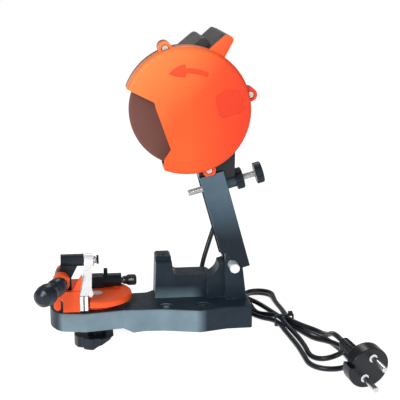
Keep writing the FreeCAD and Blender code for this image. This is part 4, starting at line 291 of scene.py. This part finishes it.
def cover_paint():
    """Satin orange enamel on the guard and the vice.

    It has painted highlight towards its upper left and on its edges, painted shade that makes it redder at its right
    and in its sunk marks, and a soft round swell about the wheel axis.
    """
    look = Look("orange_enamel", specular_ior_level=0.35)
    place = look.split(look.place)
    toward_highlight = look.vector("DOT_PRODUCT", look.place, HIGHLIGHT_WAY)
    reach = look.from_wheel_axis()
    tone = look.mix(look.span(look.noise(0.05, 2.0), 0.35, 0.65), (0.88, 0.084, 0.008), (0.92, 0.100, 0.012))
    # Painted shade makes the enamel redder towards the right; painted highlight makes it paler towards the upper left.
    tone = look.mix(look.span(place["X"], *SHADE_SPAN, 0.0, 0.9), tone, (0.74, 0.034, 0.006))
    tone = look.mix(look.span(toward_highlight, *HIGHLIGHT_SPAN, 0.0, 0.8), tone, (0.95, 0.270, 0.065))
    # Painted shade: the sunk marks on near faces are painted a deeper red.
    sunk_shade = look.times(look.span(place["Y"], *MARK_NEAR), look.span(place["Y"], *MARK_FAR))
    sunk_shade = look.times(look.times(sunk_shade, look.near_side()), look.span(reach, *MARK_REACH))
    tone = look.mix(look.times(sunk_shade, 0.75), tone, (0.72, 0.034, 0.006))
    # Painted highlight: edges are painted a paler orange, as where they catch the light.
    look.colour(look.mix(look.times(look.edges(0.0006, 0.004), 0.45), tone, (0.96, 0.30, 0.10)))
    look.rough(look.noise(0.015, 4.0), 0.40, 0.52)
    return look.bump((look.span(reach, *SWELL_REACH), 0.00035), (look.noise(0.0016, 2.0), 0.00004))


def moulded(name, deep, pale, low, high, grain, depth, rings=()):
    """Moulded plastic or rubber: spark-eroded grain, slight tone change, edges rubbed a little paler.

    Rings are the roots of the plug's pins, each in a white sleeve.
    """
    look = Look(name, specular_ior_level=0.36)
    tone = look.mix(look.span(look.noise(0.018, 3.0), 0.35, 0.7), deep, pale)
    rubbed = tuple(min(1.0, channel * 1.8 + 0.006) for channel in pale)
    tone = look.mix(look.times(look.edges(0.0004), 0.3), tone, rubbed)
    for middle in rings:
        off = look.vector("SUBTRACT", look.place, middle, "Vector")
        reach = look.vector("LENGTH", look.vector("CROSS_PRODUCT", off, PLUG_OUT, "Vector"))
        ahead = look.vector("DOT_PRODUCT", off, PLUG_OUT)
        ring = look.times(look.span(reach, SLEEVE_RADIUS + SLEEVE_EDGE, SLEEVE_RADIUS - SLEEVE_EDGE),
                          look.span(ahead, *SLEEVE_DEPTH))
        tone = look.mix(ring, tone, (0.90, 0.90, 0.90))
    look.colour(tone)
    look.rough(look.noise(0.006, 4.0), low, high)
    return look.bump((look.grains(grain), depth), (look.noise(0.006, 2.0), depth))


def plated(name, tone, shade, low, high, turn=(0, 0, 0), thread=None,
           stretch=(1, 1, 30), metallic=1.0):
    """Bright plated or machined metal with fine scratches; thread is (pitch, turn) where it has one."""
    look = Look(name, metallic=metallic)
    where = look.stretched(stretch, turn)
    scratches = look.noise(0.008, 5.0, 0.7, where)
    spangle = look.grains(0.0035, output="Color")
    grey = look.node("ShaderNodeRGBToBW", {"Color": spangle}).outputs["Val"]
    body = look.mix(look.times(grey, 0.35), tone, shade)
    grime = look.span(look.noise(0.012, 4.0), 0.55, 0.75)
    look.colour(look.mix(look.times(grime, 0.3), body, tuple(channel * 0.55 for channel in shade)))
    look.rough(scratches, low, high)
    layers = [(scratches, 0.00002)]
    if thread:
        pitch, along = thread
        layers.insert(0, (look.bands(pitch, look.stretched(turn=along)), pitch * 0.35))
    return look.bump(*layers)


def abrasive_disc():
    """Red-brown vitrified grit: bonded grains, open pores, a paler worn rim."""
    look = Look("abrasive_grit", specular_ior_level=0.25)
    grain = look.grains(0.00055, output="Color")
    grey = look.node("ShaderNodeRGBToBW", {"Color": grain}).outputs["Val"]
    body = look.mix(look.span(grey, 0.1, 0.9), (0.150, 0.063, 0.050), (0.186, 0.082, 0.066))
    pores = look.span(look.noise(0.0006, 2.0), 0.64, 0.78)
    body = look.mix(look.times(pores, 0.35), body, (0.10, 0.042, 0.034))
    rim = look.span(look.from_wheel_axis(), *RIM_REACH)
    look.colour(look.mix(look.times(rim, 0.25), body, (0.23, 0.115, 0.095)))
    look.rough(grey, 0.82, 0.97)
    return look.bump((look.grains(0.0006), 0.00005), (look.noise(0.0012, 3.0), 0.00003))


def wound(name, tone, shade, pitch, metallic, direction="X", low=0.3, high=0.45):
    """Layers of wire, bars or stacked sheet, a pitch apart."""
    look = Look(name, metallic=metallic)
    ridges = look.bands(pitch, direction=direction)
    look.colour(look.mix(look.span(ridges, 0.0, 0.7), shade, tone))
    look.rough(look.noise(0.004, 4.0), low, high)
    return look.bump((ridges, pitch * 0.4), (look.noise(0.002, 2.0), 0.00003))


THREAD_X = (0, 0, 0)
THREAD_Y = (0, 0, math.radians(90))
ALONG_ROD = (0, -ARM_LEAN, 0)

LOOKS = {
    "orange_cover": cover_paint(),
    # The rear housing's dark grey is partly its own colour and partly painted light: raised above the plastic's own
    # charcoal to stand in for the light from above on its tops.
    "dark_housing": moulded("ribbed_housing", (0.052, 0.052, 0.049), (0.072, 0.072, 0.068), 0.36, 0.50,
                            0.0006, 0.00003),
    "black_plastic": moulded("gloss_black", (0.006, 0.012, 0.020), (0.011, 0.019, 0.029), 0.26, 0.38,
                             0.0007, 0.000006),
    "black_steel": cast_paint("black_enamel", (0.010, 0.014, 0.020), (0.017, 0.023, 0.031),
                              (0.08, 0.09, 0.10), 0.24, 0.38),
    "zinc": plated("bright_zinc", (0.93, 0.94, 0.95), (0.80, 0.82, 0.85), 0.22, 0.38, metallic=0.45),
    "steel": plated("turned_steel", (0.70, 0.71, 0.72), (0.50, 0.51, 0.53), 0.18, 0.34, stretch=(1, 30, 1)),
    "abrasive": abrasive_disc(),
    "copper": wound("enamelled_wire", (0.74, 0.33, 0.14), (0.30, 0.11, 0.05), 0.0008, 0.9),
    "laminations": wound("core_sheet", (0.36, 0.36, 0.37), (0.16, 0.16, 0.17), 0.0008, 0.8, "Y", 0.4, 0.6),
    "carbon": moulded("brush_carbon", (0.03, 0.03, 0.032), (0.06, 0.06, 0.062), 0.5, 0.7, 0.0005, 0.00004),
    "cord_rubber": moulded("cord_rubber", (0.004, 0.006, 0.010), (0.009, 0.012, 0.018), 0.26, 0.38,
                           0.0009, 0.00001),
}
LEAD_LOOK = LOOKS["cord_rubber"]
SPECIAL_LOOKS = {
    # Painted sheen on both castings: near faces painted paler towards the base's lower left and towards the arm's top.
    "base_casting": cast_paint("base_paint", (0.012, 0.022, 0.034), (0.020, 0.032, 0.047), (0.16, 0.20, 0.23),
                               painted_sheen=(("X", 0.020, 0.009), ("Z", 0.034, 0.019), (0.188, 0.272, 0.322))),
    "swing_arm": cast_paint("arm_paint", (0.009, 0.015, 0.024), (0.015, 0.022, 0.033), (0.11, 0.14, 0.17),
                            painted_sheen=(("Z", 0.084, 0.128), (0.088, 0.142, 0.186))),
    "plug_body": moulded("plug_rubber", (0.003, 0.005, 0.009), (0.006, 0.009, 0.014), 0.24, 0.36,
                         0.0009, 0.00001, PIN_ROOTS),
    "guard_screws": LOOKS["steel"],
    "motor_housing_front": moulded("smooth_housing", (0.007, 0.008, 0.010), (0.012, 0.013, 0.016), 0.30, 0.42,
                                   0.0006, 0.00002),
    "depth_stop_rod": plated("rod_thread", (0.84, 0.85, 0.86), (0.6, 0.61, 0.63), 0.16, 0.3, ALONG_ROD,
                             (0.001, ALONG_ROD), (40, 1, 1), 0.6),
    "clamp_screw": plated("clamp_thread", (0.6, 0.61, 0.62), (0.4, 0.41, 0.42), 0.2, 0.34,
                          thread=(0.001, THREAD_X), stretch=(30, 1, 1)),
    "stop_screw": plated("stop_thread", (0.7, 0.71, 0.72), (0.5, 0.51, 0.53), 0.18, 0.32,
                         thread=(0.00125, THREAD_Y), stretch=(1, 30, 1)),
    "commutator": wound("commutator_bars", (0.72, 0.36, 0.2), (0.28, 0.12, 0.07), 0.0016, 1.0),
}


def wear(piece, look):
    """The piece shows that material on every face."""
    piece.data.materials.clear()
    piece.data.materials.append(look.material)


for part in frame["record"]["subparts"]:
    wear(NODES[part["node"]], SPECIAL_LOOKS.get(part["node"]) or LOOKS[part["material_slot"]])


# ---------------------------------------------------------------- mesh helpers

def piece_of(name, mesh, look, body):
    """A smooth-shaded piece that rides on a body."""
    for polygon in mesh.polygons:
        polygon.use_smooth = True
    piece = bpy.data.objects.new(name, mesh)
    bpy.context.scene.collection.objects.link(piece)
    wear(piece, look)
    if body:
        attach(piece, body)
    return piece


def lathe(name, start, end, profile, look, body, steps=48):
    """Turned piece from start to end; the profile is (share of the way, radius)."""
    axis = (end - start).normalized()
    side = axis.orthogonal().normalized()
    other = axis.cross(side)
    made = bmesh.new()
    rings = []
    for share, radius in profile:
        middle = start.lerp(end, share)
        rings.append([made.verts.new(middle + (side * math.cos(turn) + other * math.sin(turn)) * radius)
                      for turn in (math.tau * step / steps for step in range(steps))])
    for lower, upper in zip(rings, rings[1:]):
        for index in range(steps):
            following = (index + 1) % steps
            made.faces.new((lower[index], lower[following], upper[following], upper[index]))
    made.faces.new(list(reversed(rings[0])))
    made.faces.new(rings[-1])
    mesh = bpy.data.meshes.new(name)
    made.to_mesh(mesh)
    made.free()
    return piece_of(name, mesh, look, body)


def ribbed(ribs, root, tip, groove=0.0009, steps=6):
    """Profile of a tapered sleeve with round ribs between two plain ends."""
    profile = [(0.0, root), (0.10, root)]
    for rib in range(ribs):
        for step in range(steps + 1):
            share = RIBS_FROM + RIBS_RUN * (rib + step / (steps + 1)) / ribs
            radius = root + (tip - root) * share
            profile.append((share, radius - groove * abs(math.cos(math.pi * step / steps))))
    return profile + [(0.90, tip), (0.98, tip), (1.0, tip - SLEEVE_CHAMFER)]


# ---------------------------------------------------------------- camera and mains lead

camera_data = bpy.data.cameras.new("camera")
camera_data.lens = CAMERA_LENS
camera_data.sensor_width = 36.0
camera_data.clip_end = 60.0
camera = bpy.data.objects.new("camera", camera_data)
camera.location = CAMERA_AT
camera.rotation_euler = (CAMERA_AIM - CAMERA_AT).to_track_quat("-Z", "Y").to_euler()
bpy.context.scene.collection.objects.link(camera)
bpy.context.scene.camera = camera


def route_curve(name, points):
    curve = bpy.data.curves.new(name, "CURVE")
    curve.dimensions = "3D"
    spline = curve.splines.new("NURBS")
    spline.points.add(len(points) - 1)
    for control, place in zip(spline.points, points):
        control.co = (*place, 1.0)
    spline.order_u = 3
    spline.use_endpoint_u = True
    spline.resolution_u = 10
    curve.use_fill_caps = True
    line = bpy.data.objects.new(name, curve)
    bpy.context.scene.collection.objects.link(line)
    return line


def curve_mesh(line, radius, name):
    """The curve's own points with no radius, or its round tube."""
    line.data.bevel_depth = radius
    line.data.bevel_resolution = 7
    bpy.context.view_layer.update()
    mesh = bpy.data.meshes.new_from_object(line.evaluated_get(bpy.context.evaluated_depsgraph_get()))
    mesh.name = name
    return mesh


route = route_curve("cord_route", CORD_ROUTE)
centre_mesh = curve_mesh(route, 0.0, "cord_centre")
cord = piece_of("mains_cord", curve_mesh(route, CORD_RADIUS, "mains_cord"), LEAD_LOOK, None)
bpy.data.objects.remove(route)
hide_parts("power_cord_tube", "cord_hank")
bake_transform(cord)

relief = lathe("cord_relief", RELIEF_ROOT, RELIEF_TIP,
               ribbed(RELIEF_RIBS, RELIEF_ROOT_RADIUS, RELIEF_TIP_RADIUS), LEAD_LOOK, "arm")
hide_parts("strain_relief")
plug_tail = lathe("plug_tail", PLUG_COLLAR, PLUG_TAIL,
                  ribbed(PLUG_RIBS, PLUG_TAIL_RADIUS + PLUG_COLLAR_PROUD,
                         PLUG_TAIL_RADIUS + PLUG_TIP_PROUD, PLUG_GROOVE),
                  LEAD_LOOK, "base")


# ---------------------------------------------------------------- studio

def bench():
    """A lit white bench top that drops away in a smooth sweep where the base reaches past its edge."""
    edge, foot, drop, far = -0.037, -0.16, -0.05, 12.0
    sweep = 24
    line = [(far, 0.0), (edge, 0.0)]
    for step in range(1, sweep + 1):
        share = step / sweep
        line.append((edge + (foot - edge) * share, drop * (0.5 - 0.5 * math.cos(math.pi * share))))
    line.append((-far, drop))
    vertices = [(x, y, z) for x, z in line for y in (-far, far)]
    faces = [(2 * i, 2 * i + 1, 2 * i + 3, 2 * i + 2) for i in range(len(line) - 1)]
    mesh = bpy.data.meshes.new("bench")
    mesh.from_pydata(vertices, [], faces)
    floor = bpy.data.objects.new("bench", mesh)
    bpy.context.scene.collection.objects.link(floor)
    for polygon in mesh.polygons:
        polygon.use_smooth = True
    look = Look("white_bench", roughness=0.9, specular_ior_level=0.0, emission_color=(1, 1, 1, 1),
                emission_strength=BENCH_GLOW)
    look.colour(look.mix(look.noise(0.4), (0.34, 0.34, 0.34), (0.36, 0.36, 0.36)))
    wear(floor, look)


def softbox(name, at, aim, size, power):
    light = bpy.data.lights.new(name, "AREA")
    light.shape = "SQUARE"
    light.size = size
    light.energy = power
    lamp = bpy.data.objects.new(name, light)
    lamp.location = at
    lamp.rotation_euler = (Vector(aim) - Vector(at)).to_track_quat("-Z", "Y").to_euler()
    bpy.context.scene.collection.objects.link(lamp)


bench()
softbox("key", (-0.75, -1.10, 0.75), (0, 0, 0.13), 0.6, 13)
softbox("fill", (0.9, -0.9, 0.5), (0, 0, 0.12), 0.8, 3)
softbox("back", (0.1, 0.9, 1.3), (0, 0, 0.20), 0.5, 4)

world = bpy.data.worlds.new("studio")
world.use_nodes = True
room = world.node_tree
direction = room.nodes.new("ShaderNodeTexCoord")
height = room.nodes.new("ShaderNodeSeparateXYZ")
horizon = room.nodes.new("ShaderNodeMapRange")
room.links.new(direction.outputs["Generated"], height.inputs["Vector"])
room.links.new(height.outputs["Z"], horizon.inputs["Value"])
for socket, value in zip(("From Min", "From Max", "To Min", "To Max"), (*HORIZON, 1.0, ROOM_GLOW)):
    horizon.inputs[socket].default_value = value
room.nodes["Background"].inputs["Color"].default_value = (1, 1, 1, 1)
room.links.new(horizon.outputs["Result"], room.nodes["Background"].inputs["Strength"])
bpy.context.scene.world = world
bpy.context.scene.view_settings.view_transform = "Standard"
